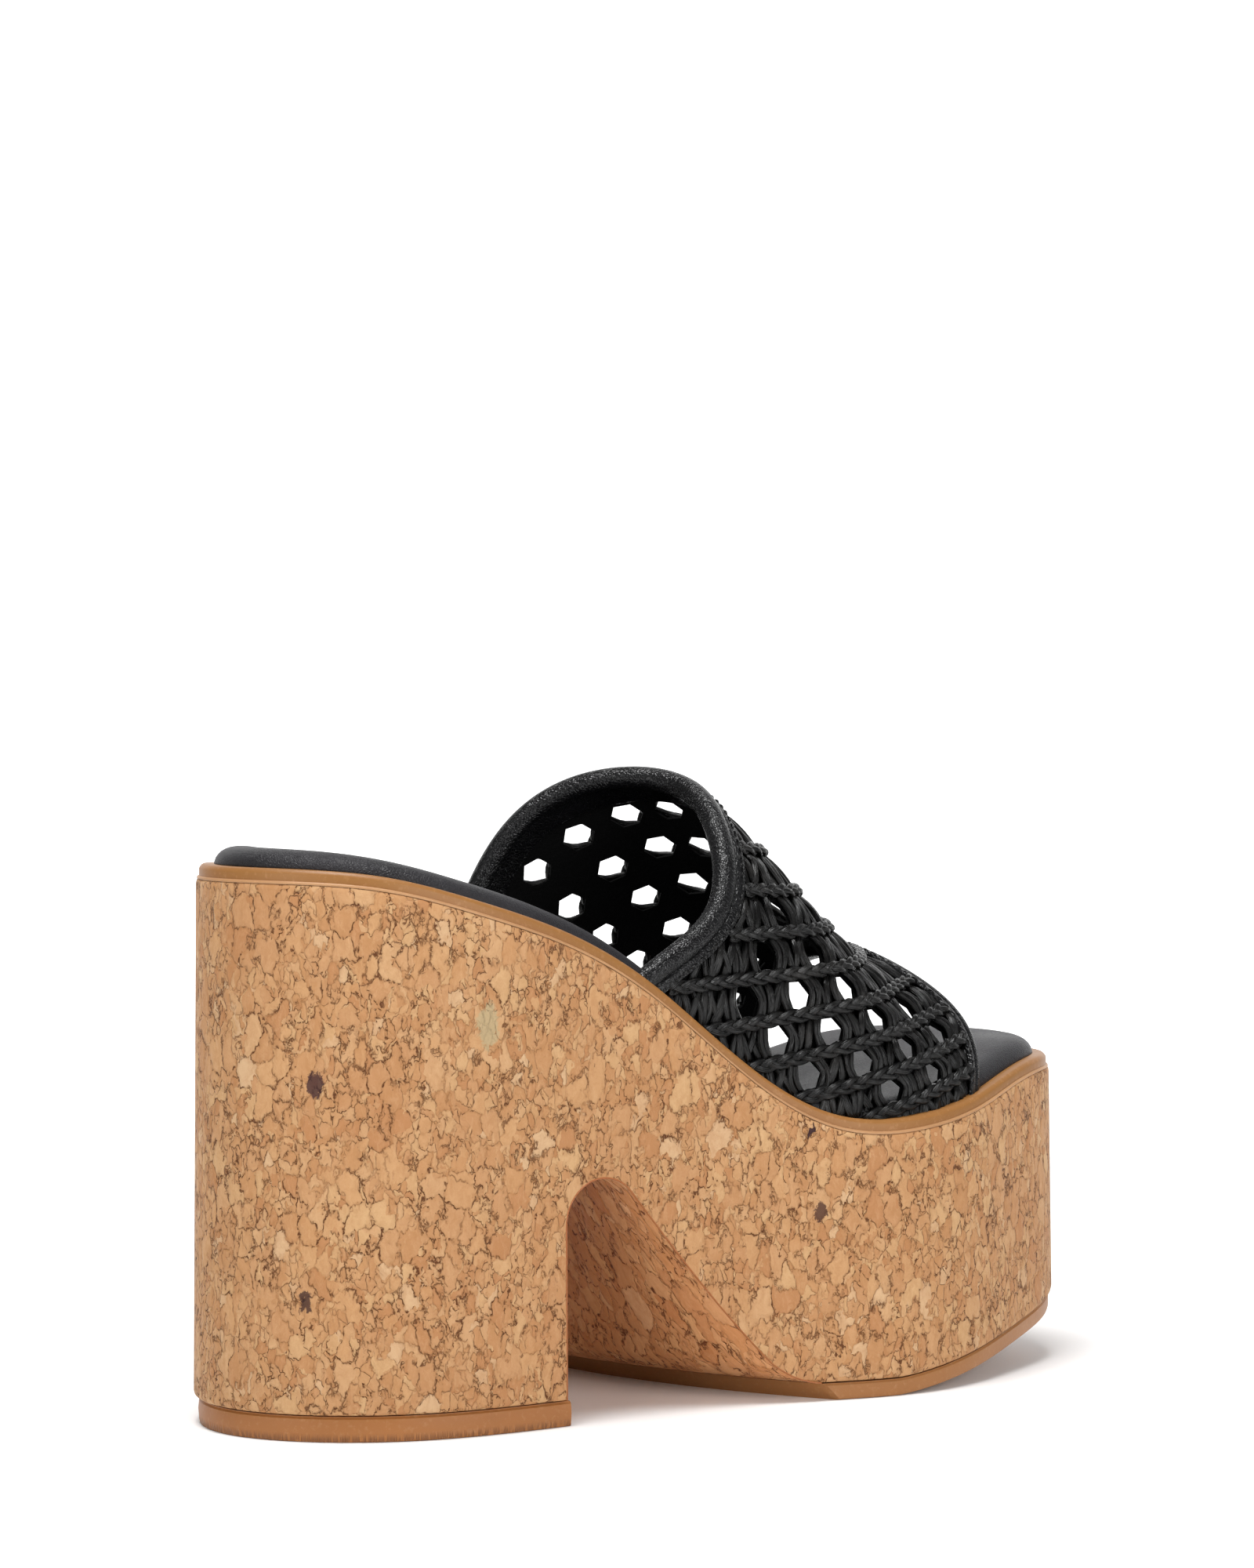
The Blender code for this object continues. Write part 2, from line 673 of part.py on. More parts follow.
def arch_section(end):
    """The gap under the arch in one section: breast, round crown, slope, shallow foot and leaning rear face."""
    foot = SOLE_THICKNESS + GAP
    centre = np.array([HEEL_FRONT + ARCH_RADIUS, ARCH_HEIGHT - ARCH_RADIUS])
    slope_end = np.array([end - FOOT_RUN, foot + FOOT_RISE])
    reach = slope_end - centre
    touch = math.atan2(reach[1], reach[0]) + math.acos(ARCH_RADIUS / np.hypot(*reach))
    sweep = np.linspace(math.pi, touch, ARCH_STEPS + 1)
    points = [centre + ARCH_RADIUS * np.array([math.cos(a), math.sin(a)]) for a in sweep]
    points += [slope_end, (end - FOOT_RUN / 2, foot + FOOT_RISE / 4), (end, foot)]
    return points + [(end + SOLE_UNDERCUT, -SOLE_THICKNESS), (HEEL_FRONT, -SOLE_THICKNESS)]


def arch_cutter():
    """The gap under the arch, whose slope ends along the sole's rear edge."""
    across = column(SOLE_BACK, SOLE_BACK_COLUMNS, "across")
    along = column(SOLE_BACK, SOLE_BACK_COLUMNS, "along") * LENGTH
    places = np.concatenate([[-2], np.linspace(-1, 1, 2 * len(across) - 1), [2]])
    ends = through(across, along, places)
    sections = []
    for place, end in zip(places, ends):
        sections.append([(x, place * BALL_WIDTH / 2, z) for x, z in arch_section(end)])
    return build("arch_trim", *closed_sweep(np.array(sections), False), None)


def flat(height):
    """A height function that is the same everywhere."""
    return lambda x: np.full_like(x, height)


def over(function, rise):
    """A height function raised by a fixed amount."""
    return lambda x: function(x) + rise


def notched(inset):
    """An inset that makes room for the vamp's wall and bindings."""
    return lambda x: inset + PAD_NOTCH * vamp_place(x)


def main():
    for thing in list(bpy.data.objects):
        bpy.data.objects.remove(thing, do_unlink=True)

    flare = -WALL_FLARE
    cork = slab("cork_platform", 0, LENGTH, SIDE_STEPS, [
        (flare + CORK_ROUND, cork_foot),
        (flare, over(cork_foot, CORK_ROUND)),
        (0, over(cork_top, -CORK_ROUND)),
        (CORK_ROUND / 2, cork_top),
    ], CORK)
    arch = arch_cutter()
    cut(cork, arch)

    lift = LIFT_INSET - WALL_FLARE
    slab("heel_top_lift", 0, HEEL_FRONT + LIFT_STEP, 18, [
        (lift + RUBBER_ROUND, flat(0.0)),
        (lift, flat(RUBBER_ROUND)),
        (lift, flat(LIFT_THICKNESS)),
    ], TAN_RUBBER)

    sole = SOLE_INSET - WALL_FLARE
    outsole = slab("outsole", SOLE_START, LENGTH, 24, [
        (sole + RUBBER_ROUND, tread),
        (sole, over(tread, RUBBER_ROUND)),
        (sole, over(tread, SOLE_THICKNESS)),
    ], TAN_RUBBER)
    cut(outsole, arch)

    ledge = WELT_INSET + WELT_WIDTH
    welt = rim_ring([
        (WELT_INSET, GAP),
        (WELT_INSET, GAP + WELT_HEIGHT - WELT_BEVEL),
        (WELT_INSET + WELT_BEVEL, GAP + WELT_HEIGHT),
        (ledge, GAP + WELT_HEIGHT),
        (ledge, GAP),
    ], SIDE_STEPS)
    build("welt", *closed_sweep(welt, True), TAN_WELT)

    pad = ledge + GAP
    slab("insole", 0, LENGTH, SIDE_STEPS, [
        (notched(pad), over(cork_top, GAP)),
        (notched(pad), over(cork_top, 0.55 * PAD_HEIGHT)),
        (notched(pad + 0.12 * PAD_ROUND), over(cork_top, 0.78 * PAD_HEIGHT)),
        (notched(pad + 0.45 * PAD_ROUND), over(cork_top, 0.94 * PAD_HEIGHT)),
        (notched(pad + PAD_ROUND), over(cork_top, PAD_HEIGHT)),
    ], GREY_LEATHER)

    sheet = Sheet()
    add_border(sheet)
    add_welt_line(sheet)
    grid = row_grid()
    add_ridges(sheet, grid)
    add_holes(sheet, grid)
    build("upper", *sheet.mesh(), CHARCOAL_CORD)

    collar = roll_section(COLLAR_ROLL, COLLAR_OUTER_FLANGE, COLLAR_FACING)
    binding("collar_binding", "collar", -1, collar, BLACK_LEATHER)
    toe = roll_section(TOE_ROLL, TOE_FLANGE, TOE_FLANGE)
    binding("toe_binding", "toe", 1, toe, BLACK_LEATHER)


main()
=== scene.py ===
import math

import bmesh
import bpy
import numpy as np
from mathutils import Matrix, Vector
from mathutils.geometry import delaunay_2d_cdt


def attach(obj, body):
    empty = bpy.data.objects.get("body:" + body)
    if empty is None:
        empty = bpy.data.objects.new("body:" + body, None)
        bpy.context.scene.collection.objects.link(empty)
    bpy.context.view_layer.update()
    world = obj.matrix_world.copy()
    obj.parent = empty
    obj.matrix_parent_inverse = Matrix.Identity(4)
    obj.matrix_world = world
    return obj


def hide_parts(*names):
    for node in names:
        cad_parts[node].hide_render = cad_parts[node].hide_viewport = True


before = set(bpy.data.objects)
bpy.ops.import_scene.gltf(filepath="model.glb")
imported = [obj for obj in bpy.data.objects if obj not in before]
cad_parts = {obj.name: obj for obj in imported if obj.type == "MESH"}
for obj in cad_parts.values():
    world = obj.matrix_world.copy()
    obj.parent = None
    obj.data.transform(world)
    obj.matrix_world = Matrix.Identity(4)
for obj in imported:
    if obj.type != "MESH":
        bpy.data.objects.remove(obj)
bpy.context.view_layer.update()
scene = bpy.context.scene

# The shoe's own sizes, in metres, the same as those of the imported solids. +X is the toe, +Y the medial side.
shoe = {
    "length": 0.230, "ballWidth": 0.096, "heelWidth": 0.0796, "heelHeight": 0.1225, "ballHeight": 0.0617,
    "toeSpring": 0.0136, "gap": 0.0003, "heelRest": 0.034, "heelFront": 0.0678, "archHeight": 0.0552,
    "archRadius": 0.0101, "footRun": 0.0112, "footRise": 0.0050, "wallFlare": 0.0008, "liftThickness": 0.0057,
    "liftInset": 0.0012, "liftStep": 0.0018, "soleStart": 0.100, "soleUndercut": 0.0065,
    "soleThickness": 0.0040, "soleInset": 0.0008,
    "treadFront": 0.155, "treadPower": 1.2, "instepHeight": 0.0726, "sideFullness": 1.06, "vampSeat": 0.0008,
    "wall": 0.0020, "weltReach": 0.0037,
}
heelWidth, ballWidth = shoe["heelWidth"], shoe["ballWidth"]
# place along, lateral and medial half width as shares of the named width
outline = np.array([
    (0.000, 0.000, 0.000, heelWidth), (0.020, 0.195, 0.195, heelWidth), (0.060, 0.327, 0.327, heelWidth),
    (0.140, 0.452, 0.452, heelWidth), (0.260, 0.496, 0.496, heelWidth), (0.400, 0.492, 0.503, heelWidth),
    (0.540, 0.440, 0.440, ballWidth), (0.660, 0.510, 0.484, ballWidth), (0.760, 0.497, 0.523, ballWidth),
    (0.860, 0.401, 0.505, ballWidth), (0.940, 0.294, 0.360, ballWidth), (0.985, 0.160, 0.160, ballWidth),
    (1.000, 0.000, 0.000, ballWidth)])
# place along, share of the rise to the heel, share of the toe spring
profile = np.array([
    (0.0, 1.000, 0.00), (0.1, 0.977, 0.00), (0.2, 0.880, 0.00), (0.3, 0.753, 0.00), (0.4, 0.553, 0.00),
    (0.5, 0.260, 0.00), (0.6, 0.028, 0.00), (0.7, 0.000, 0.00), (0.8, 0.000, 0.28), (0.9, 0.000, 0.66),
    (1.0, 0.000, 0.69)])
# place along, crest height over the cork, crest shift sideways
crest = np.array([
    (0.340, 1.115, 0.016), (0.392, 1.061, 0.020), (0.500, 1.000, 0.028), (0.609, 0.927, 0.038),
    (0.717, 0.588, 0.048), (0.826, 0.438, 0.057), (0.900, 0.390, 0.060)])
# turn over the foot in degrees, place along of the collar and of the toe edge
edges = np.array([
    (0.0, 0.395, 0.795), (30.0, 0.506, 0.812), (60.0, 0.546, 0.787), (90.0, 0.551, 0.769),
    (120.0, 0.497, 0.776), (150.0, 0.427, 0.788), (180.0, 0.370, 0.795)])
# the sole's rear edge: share of half the ball's width, share of the length
soleBack = np.array([(-1.0, 0.5974), (-0.5, 0.5391), (0.0, 0.4987), (0.5, 0.4752), (1.0, 0.4696)])
lateral, medial = -1, 1


# Natural cubic spline through the knots, level beyond its ends.
def through(knots, values, at):
    gap = np.diff(knots)
    count = len(knots)
    system, right = np.eye(count), np.zeros(count)
    for k in range(1, count - 1):
        system[k, k - 1:k + 2] = gap[k - 1], 2 * (gap[k - 1] + gap[k]), gap[k]
        right[k] = 6 * ((values[k + 1] - values[k]) / gap[k] - (values[k] - values[k - 1]) / gap[k - 1])
    bend = np.linalg.solve(system, right)
    at = np.clip(at, knots[0], knots[-1])
    k = np.clip(np.searchsorted(knots, at) - 1, 0, count - 2)
    a = (knots[k + 1] - at) / gap[k]
    b = 1 - a
    curve = ((a**3 - a) * bend[k] + (b**3 - b) * bend[k + 1]) * gap[k]**2 / 6
    return a * values[k] + b * values[k + 1] + curve


# Angle round the outline: arc cosine of 1 - 2 x / length, 0 at the heel's back and pi at the toe.
def turnAt(x):
    return np.arccos(1 - 2 * np.clip(x / shoe["length"], 0, 1))


# Half width on a side: the spline through the outline's rows, taken over the outline's angle.
def halfWidth(turn, side):
    widths = outline[:, 1 if side == lateral else 2] * outline[:, 3]
    return through(turnAt(outline[:, 0] * shoe["length"]), widths, turn)


# Height of the cork's top: ball height + share * rise + share * toe spring.
def corkTop(x):
    along = profile[:, 0] * shoe["length"]
    rise = through(along, profile[:, 1], x) * (shoe["heelHeight"] - shoe["ballHeight"])
    return shoe["ballHeight"] + rise + through(along, profile[:, 2], x) * shoe["toeSpring"]


# Underside of the forefoot: 0 to treadFront, then toe spring * share ** treadPower.
def tread(x):
    share = np.clip((x - shoe["treadFront"]) / (shoe["length"] - shoe["treadFront"]), 0, None)
    return shoe["toeSpring"] * share**shoe["treadPower"]


# Underside of the cork: on the lift behind the arch, on the sole in front of it.
def corkFoot(x):
    sole = tread(x) + shoe["soleThickness"] + shoe["gap"]
    behind = x < (shoe["heelFront"] + shoe["soleStart"]) / 2
    return np.where(behind, shoe["liftThickness"] + shoe["gap"], sole)


# The outline moved inward by inset along its own normal.
def outlineEdge(turn, side, inset):
    before, after = np.clip(turn - 1e-4, 0, math.pi), np.clip(turn + 1e-4, 0, math.pi)
    slopeX = shoe["length"] * np.sin(turn) / 2
    slopeY = (halfWidth(after, side) - halfWidth(before, side)) / (after - before)
    size = np.hypot(slopeX, slopeY)
    x = shoe["length"] * (1 - np.cos(turn)) / 2 + inset * slopeY / size
    y = np.maximum(halfWidth(turn, side) - inset * slopeX / size, 0)
    return x, side * y


# A closed ring of the outline: lateral from heel to toe, then medial back.
def outlineRing(inset, steps):
    turns = np.linspace(0, math.pi, steps + 1)
    lx, ly = outlineEdge(turns, lateral, inset)
    mx, my = outlineEdge(turns[-2:0:-1], medial, inset)
    return np.concatenate([lx, mx]), np.concatenate([ly, my])


# Half width of the vamp's middle surface where it meets the insole.
def vampBase(x, side):
    slope = (halfWidth(turnAt(x + 1e-4), side) - halfWidth(turnAt(x - 1e-4), side)) / 2e-4
    inset = shoe["weltReach"] + shoe["gap"] + shoe["wall"] / 2
    return halfWidth(turnAt(x), side) - inset * np.sqrt(1 + slope**2)


# The vamp's middle: y = base * |cos turn| ** fullness + shift * sin(turn) ** 2,
# z = cork's top + seat + crest height * sin(turn).
def vampPoint(x, turn):
    along = crest[:, 0] * shoe["length"]
    height = through(along, crest[:, 1], x) * shoe["instepHeight"]
    shift = through(along, crest[:, 2], x) * ballWidth
    reach = np.abs(np.cos(turn))**shoe["sideFullness"]
    y = np.where(np.cos(turn) > 0, -vampBase(x, lateral) * reach, vampBase(x, medial) * reach)
    y = y + shift * np.sin(turn)**2
    return np.stack([x, y, corkTop(x) + shoe["vampSeat"] + height * np.sin(turn)], axis=-1)


def unit(vectors):
    return vectors / np.maximum(np.linalg.norm(vectors, axis=-1, keepdims=True), 1e-12)


# Slopes of the vamp along and across by central differences, and their cross product as the outward normal.
def vampFrame(x, turn):
    step = 1e-5
    along = (vampPoint(x + step, turn) - vampPoint(x - step, turn)) / (2 * step)
    across = (vampPoint(x, turn + step) - vampPoint(x, turn - step)) / (2 * step)
    return along, across, unit(np.cross(along, across))


def vampEdge(turn, which):
    return through(np.radians(edges[:, 0]), edges[:, 1 if which == "collar" else 2] * shoe["length"], turn)


# Shader maths: an expression on Value adds Math nodes.
class Value:
    def __init__(self, tree, socket):
        self.tree, self.socket = tree, socket

    def use(self, operation, *others):
        node = self.tree.nodes.new("ShaderNodeMath")
        node.operation = operation
        for socket, item in zip(node.inputs, others):
            if isinstance(item, Value):
                self.tree.links.new(item.socket, socket)
            else:
                socket.default_value = item
        return Value(self.tree, node.outputs[0])

    def __add__(self, other):
        return self.use("ADD", self, other)

    def __radd__(self, other):
        return self.use("ADD", other, self)

    def __sub__(self, other):
        return self.use("SUBTRACT", self, other)

    def __rsub__(self, other):
        return self.use("SUBTRACT", other, self)

    def __mul__(self, other):
        return self.use("MULTIPLY", self, other)

    def __rmul__(self, other):
        return self.use("MULTIPLY", other, self)

    def __gt__(self, other):
        return self.use("GREATER_THAN", self, other)


# A material under construction. node() takes a node's type, its settings, then its sockets' values or links.
class Look:
    def __init__(self, name, **fixed):
        self.material = bpy.data.materials.new(name)
        self.material.use_nodes = True
        self.tree = self.material.node_tree
        self.shader = self.tree.nodes["Principled BSDF"]
        for socket, value in fixed.items():
            self.shader.inputs[socket.replace("_", " ")].default_value = value

    def node(self, kind, settings=None, values=None, out=0):
        node = self.tree.nodes.new(kind)
        for name, value in (settings or {}).items():
            if name == "stops":
                ramp = node.color_ramp
                while len(ramp.elements) < len(value):
                    ramp.elements.new(0.5)
                for element, (place, colour) in zip(ramp.elements, value):
                    element.position, element.color = place, colour
            elif name == "blend":
                node.color_ramp.interpolation = value
            else:
                setattr(node, name, value)
        for name, value in (values or {}).items():
            if isinstance(value, Value):
                self.tree.links.new(value.socket, node.inputs[name])
            else:
                node.inputs[name].default_value = value
        return Value(self.tree, node.outputs[out])

    def place(self, scale=(1, 1, 1)):
        spot = self.node("ShaderNodeTexCoord", out=3)
        return self.vector("MULTIPLY", spot, scale)

    def vector(self, operation, a, b):
        return self.node("ShaderNodeVectorMath", {"operation": operation}, {0: a, 1: b})

    def noise(self, at, scale, detail=3.0, rough=0.5, out=0):
        return self.node("ShaderNodeTexNoise", None,
                         {"Vector": at, "Scale": scale, "Detail": detail, "Roughness": rough}, out)

    def cells(self, at, scale, feature="F1", out=0):
        return self.node("ShaderNodeTexVoronoi", {"feature": feature}, {"Vector": at, "Scale": scale}, out)

    def ramp(self, factor, stops, blend="LINEAR"):
        return self.node("ShaderNodeValToRGB", {"blend": blend, "stops": stops}, {0: factor})

    def spread(self, value, low, high, to=(0.0, 1.0)):
        return self.node("ShaderNodeMapRange", None, {0: value, 1: low, 2: high, 3: to[0], 4: to[1]})

    def mix(self, factor, a, b, how="MIX"):
        settings = {"data_type": "RGBA", "blend_type": how}
        return self.node("ShaderNodeMix", settings, {0: factor, 6: a, 7: b}, 2)

    def channel(self, colour, which):
        return self.node("ShaderNodeSeparateColor", None, {0: colour}, which)

    def length(self, vector):
        return self.node("ShaderNodeVectorMath", {"operation": "LENGTH"}, {0: vector}, 1)

    def bump(self, height, distance, strength):
        return self.node("ShaderNodeBump", None, {"Height": height, "Distance": distance, "Strength": strength})

    def set(self, **links):
        for socket, value in links.items():
            self.tree.links.new(value.socket, self.shader.inputs[socket.replace("_", " ")])
        return self.material


# A colour as seen under the studio's lamps, 0 to 255, as the linear one that the shader takes.
def tone(red, green, blue):
    parts = [c / 255 for c in (red, green, blue)]
    linear = [c / 12.92 if c < 0.04045 else ((c + 0.055) / 1.055)**2.4 for c in parts]
    return (*[studio["dim"] * c for c in linear], 1.0)


# Lamp powers in watts, sky and floor light, and how much darker than they look the colours are set.
studio = {
    "top": 26.0, "leftFill": 8.0, "rightFill": 14.5, "sky": 0.27, "floorNear": 0.0, "floorFar": 0.80, "dim": 0.76}
corkLook = {
    "chipScale": 225, "smallChipScale": 480, "hatchScale": 1050, "stretch": 0.68, "depth": 0.0003,
    "shake": 0.0042, "slopeTurn": math.radians(50), "slopeStretch": 2.1}
# Dark pits and one pale chip that stand out on the lateral side: place, reach along, colour.
corkMarks = [
    ((-0.0218, -0.0246, 0.0786), 0.0019, (62, 30, 36)),
    ((-0.0234, -0.0230, 0.0306), 0.0016, (66, 38, 34)),
    ((0.1009, -0.0449, 0.0441), 0.0017, (78, 44, 34)),
    ((0.0137, -0.0389, 0.0906), 0.0030, (186, 164, 124))]


# Cork sheet: convex chips of several tones from two sizes of cells, thin broken cracks on their borders, hatching
# of tiny cells beside some borders, and a few pits. In the arch the chips lie along the slope, and the colour is
# multiplied up as painted light for the arch's shaded roof.
def corkMaterial(name, turned):
    look = Look(name, Roughness=0.62, Specular_IOR_Level=0.2)
    spot = look.place((1, 1, corkLook["stretch"]))
    if turned:
        spot = look.node("ShaderNodeMapping", {"vector_type": "TEXTURE"}, {
            "Vector": look.place(), "Rotation": (0, corkLook["slopeTurn"], 0),
            "Scale": (corkLook["slopeStretch"], 1.0, 1.0)})
    shaken = look.vector("SUBTRACT", look.noise(spot, 330, 3, 0.6, out=1), (0.5, 0.5, 0.5))
    spot = look.vector("ADD", spot, look.vector("MULTIPLY", shaken, (corkLook["shake"],) * 3))
    big = look.cells(spot, corkLook["chipScale"], out=1)
    small = look.cells(spot, corkLook["smallChipScale"], out=1)
    bigEdge = look.cells(spot, corkLook["chipScale"], "DISTANCE_TO_EDGE")
    smallEdge = look.cells(spot, corkLook["smallChipScale"], "DISTANCE_TO_EDGE")
    hatchEdge = look.cells(spot, corkLook["hatchScale"], "DISTANCE_TO_EDGE")
    where = look.noise(spot, 150, 2) > 0.5
    edge = look.node("ShaderNodeMix", {"data_type": "FLOAT"}, {0: where, 2: bigEdge, 3: smallEdge})
    pick = look.channel(look.mix(where, big, small), 0)
    colour = look.ramp(pick, [
        (0.00, tone(200, 152, 106)), (0.14, tone(208, 164, 118)), (0.26, tone(193, 142, 95)),
        (0.40, tone(205, 158, 110)), (0.54, tone(198, 148, 100)), (0.66, tone(188, 134, 88)),
        (0.76, tone(210, 168, 120)), (0.86, tone(196, 146, 100)), (0.955, tone(214, 176, 134))], "CONSTANT")
    soft = look.noise(spot, 520, 4, 0.7)
    streak = look.noise(look.vector("MULTIPLY", spot, (1, 1, 0.35)), 900, 3, 0.7)
    colour = look.mix(look.spread(soft, 0.40, 0.72, (0.0, 0.45)), colour, tone(170, 118, 72))
    colour = look.mix(look.spread(streak, 0.50, 0.75, (0.0, 0.35)), colour, tone(222, 180, 134))
    cloud = look.noise(spot, 38, 2)
    colour = look.mix(look.spread(cloud, 0.40, 0.65, (0.0, 0.22)), colour, tone(184, 128, 82))
    dots = look.spread(look.noise(spot, 1100, 2, 0.6), 0.44, 0.54)
    busy = look.spread(look.noise(spot, 170, 3, 0.6), 0.42, 0.56)
    thin = look.spread(edge, 0.012, 0.050, (1.0, 0.0)) * dots * (0.30 + 0.70 * busy)
    hatch = look.spread(hatchEdge, 0.02, 0.12, (0.85, 0.0)) * look.spread(edge, 0.06, 0.16, (1.0, 0.0))
    hatch = hatch * look.spread(look.noise(spot, 260, 2), 0.54, 0.60)
    pit = look.spread(look.noise(spot, 150, 3, 0.6), 0.735, 0.755)
    dark = look.node("ShaderNodeMath", {"operation": "MAXIMUM"}, {0: thin, 1: hatch})
    colour = look.mix(look.spread(edge, 0.0, 0.10, (0.30, 0.0)), colour, tone(164, 112, 64))
    colour = look.mix(dark, colour, tone(100, 56, 24))
    colour = look.mix(pit, colour, tone(62, 34, 34))
    for place, reach, paint in corkMarks:
        apart = look.vector("SUBTRACT", look.place(), place)
        away = look.length(look.vector("MULTIPLY", apart, (1, 1, 0.58))) + (soft - 0.5) * 0.0045
        colour = look.mix(look.spread(away, 0.8 * reach, reach, (0.9, 0.0)), colour, tone(*paint))
    # Painted light: the arch's colour is multiplied up, more in red than in blue, to brighten its shaded roof.
    if turned:
        colour = look.mix(0.6, colour, (1.50, 1.24, 1.10, 1), "MULTIPLY")
    height = look.spread(edge, 0.0, 0.20, (0.0, 0.5)) + pick * 0.4 - dark * 0.8 - pit * 1.5 + soft * 0.35
    normal = look.bump(height, corkLook["depth"], 0.9)
    rough = look.spread(soft, 0.3, 0.7, (0.50, 0.68))
    return look.set(Base_Color=colour, Roughness=rough, Normal=normal)


# Moulded rubber: one tone with slow clouds, fine skin and short upright scratches near the floor.
def rubberMaterial(name, colour, groove):
    look = Look(name, Specular_IOR_Level=0.3)
    spot = look.place()
    cloud = look.noise(spot, 35, 4, 0.6)
    paint = look.mix(look.spread(cloud, 0.35, 0.65, (0.0, 0.35)), colour, tone(148, 96, 50))
    fine = look.noise(spot, 900, 3, 0.6)
    paint = look.mix(look.spread(fine, 0.55, 0.75, (0.0, 0.25)), paint, tone(206, 156, 110))
    height = fine * 0.5
    if groove:
        tall = look.node("ShaderNodeSeparateXYZ", None, {0: spot}, 2)
        low = look.spread(tall, 0.0008, 0.0020, (1.0, 0.0))
        comb = look.noise(look.place((1, 1, 0.02)), 1500, 1)
        height = height + low * look.spread(comb, 0.45, 0.55) * 3.0
        paint = look.mix(low * look.spread(comb, 0.5, 0.6, (0.5, 0.0)), paint, tone(112, 72, 46))
    normal = look.bump(height, 0.00008, 0.8)
    return look.set(Base_Color=paint, Roughness=look.spread(cloud, 0.3, 0.7, (0.34, 0.5)), Normal=normal)


# Leather: a grain of small cells, slow tone changes, and a few fine wrinkles.
def leatherMaterial(name, colour, worn, grain, rough, gloss=0.28):
    look = Look(name, Specular_IOR_Level=gloss)
    spot = look.place()
    shaken = look.vector("MULTIPLY", look.noise(spot, 300, 2, out=1), (0.002, 0.002, 0.002))
    spot = look.vector("ADD", spot, shaken)
    cell = look.cells(spot, grain, "DISTANCE_TO_EDGE")
    pore = look.spread(cell, 0.0, 0.22)
    cloud = look.noise(spot, 40, 4, 0.6)
    paint = look.mix(look.spread(cloud, 0.35, 0.7), colour, worn)
    paint = look.mix(look.spread(pore, 0.0, 1.0, (0.25, 0.0)), paint, (0.004, 0.004, 0.004, 1))
    wrinkle = look.noise(look.place((1.0, 2.2, 1.0)), 90, 5, 0.62)
    normal = look.bump(pore + wrinkle * 2.0, 0.00008, 0.75)
    return look.set(Base_Color=paint, Roughness=look.spread(cloud, 0.3, 0.7, (rough - 0.06, rough + 0.08)),
                    Normal=normal)


# Raffia: fibres run along each strand; its own attribute holds place along and the two sides of the section.
def raffiaMaterial(name, shade):
    look = Look(name, Specular_IOR_Level=0.26)
    lay = look.node("ShaderNodeAttribute", {"attribute_name": "lay"}, out=1)
    lines = look.noise(look.vector("MULTIPLY", lay, (90, 3000, 3000)), 1.0, 2, 0.6)
    broad = look.noise(look.vector("MULTIPLY", lay, (70, 900, 900)), 1.0, 2, 0.5)
    cloud = look.noise(look.place(), 150, 3, 0.6)
    paint = look.mix(look.spread(lines, 0.35, 0.7), tone(6 * shade, 6 * shade, 6 * shade),
                     tone(24 * shade, 23 * shade, 22 * shade))
    worn = tone(62 * shade, 60 * shade, 58 * shade)
    paint = look.mix(look.spread(cloud, 0.54, 0.72, (0.0, 0.35)), paint, worn)
    normal = look.bump(lines + broad * 1.6, 0.00035, 1.0)
    rough = look.spread(broad, 0.35, 0.65, (0.14, 0.38))
    return look.set(Base_Color=paint, Roughness=rough, Normal=normal)


cork = corkMaterial("cork_sheet", False)
corkInner = corkMaterial("cork_arch", True)
tanRubber = rubberMaterial("tan_sole_rubber", tone(170, 116, 66), False)
liftRubber = rubberMaterial("tan_lift_rubber", tone(172, 112, 60), True)
weltTan = rubberMaterial("tan_welt_strip", tone(154, 106, 54), False)
lipTan = rubberMaterial("pale_welt_lip", tone(194, 148, 104), False)
seamBrown = rubberMaterial("brown_seam", tone(168, 98, 52), False)
greyLeather = leatherMaterial("grey_sock_leather", tone(35, 34, 37), tone(46, 44, 48), 1500, 0.46, 0.25)
blackLeather = leatherMaterial("black_binding_leather", tone(7, 7, 8), tone(13, 13, 15), 1300, 0.25)
raffia = raffiaMaterial("charcoal_raffia", 1.0)
lining = leatherMaterial("black_net_lining", tone(5, 5, 5), tone(9, 9, 9), 900, 0.80, 0.08)
thread = raffiaMaterial("black_thread", 0.8)
print("materials made")


def makePiece(name, points, faces, material, slot, nodes=(), lay=None, merge=0.0, crease=35, fixed=False):
    points = np.array(points, float)
    mesh = bpy.data.meshes.new(name)
    points = points - np.array([shoe["heelRest"], 0, 0])
    mesh.from_pydata(points.tolist(), [], [tuple(int(k) for k in face) for face in faces])
    if lay is not None:
        kept = mesh.attributes.new("lay", "FLOAT_VECTOR", "POINT")
        kept.data.foreach_set("vector", np.ascontiguousarray(lay, np.float32).ravel())
    if merge > 0 or not fixed:
        form = bmesh.new()
        form.from_mesh(mesh)
        if merge > 0:
            bmesh.ops.remove_doubles(form, verts=form.verts, dist=merge)
        if not fixed:
            bmesh.ops.recalc_face_normals(form, faces=form.faces)
        form.to_mesh(mesh)
        form.free()
    mesh.shade_smooth()
    if crease < 180:
        mesh.set_sharp_from_angle(angle=math.radians(crease))
    thing = bpy.data.objects.new(name, mesh)
    scene.collection.objects.link(thing)
    if material:
        mesh.materials.append(material)
    if slot:
        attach(thing, "root")
        if nodes:
            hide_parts(*nodes)
    return thing


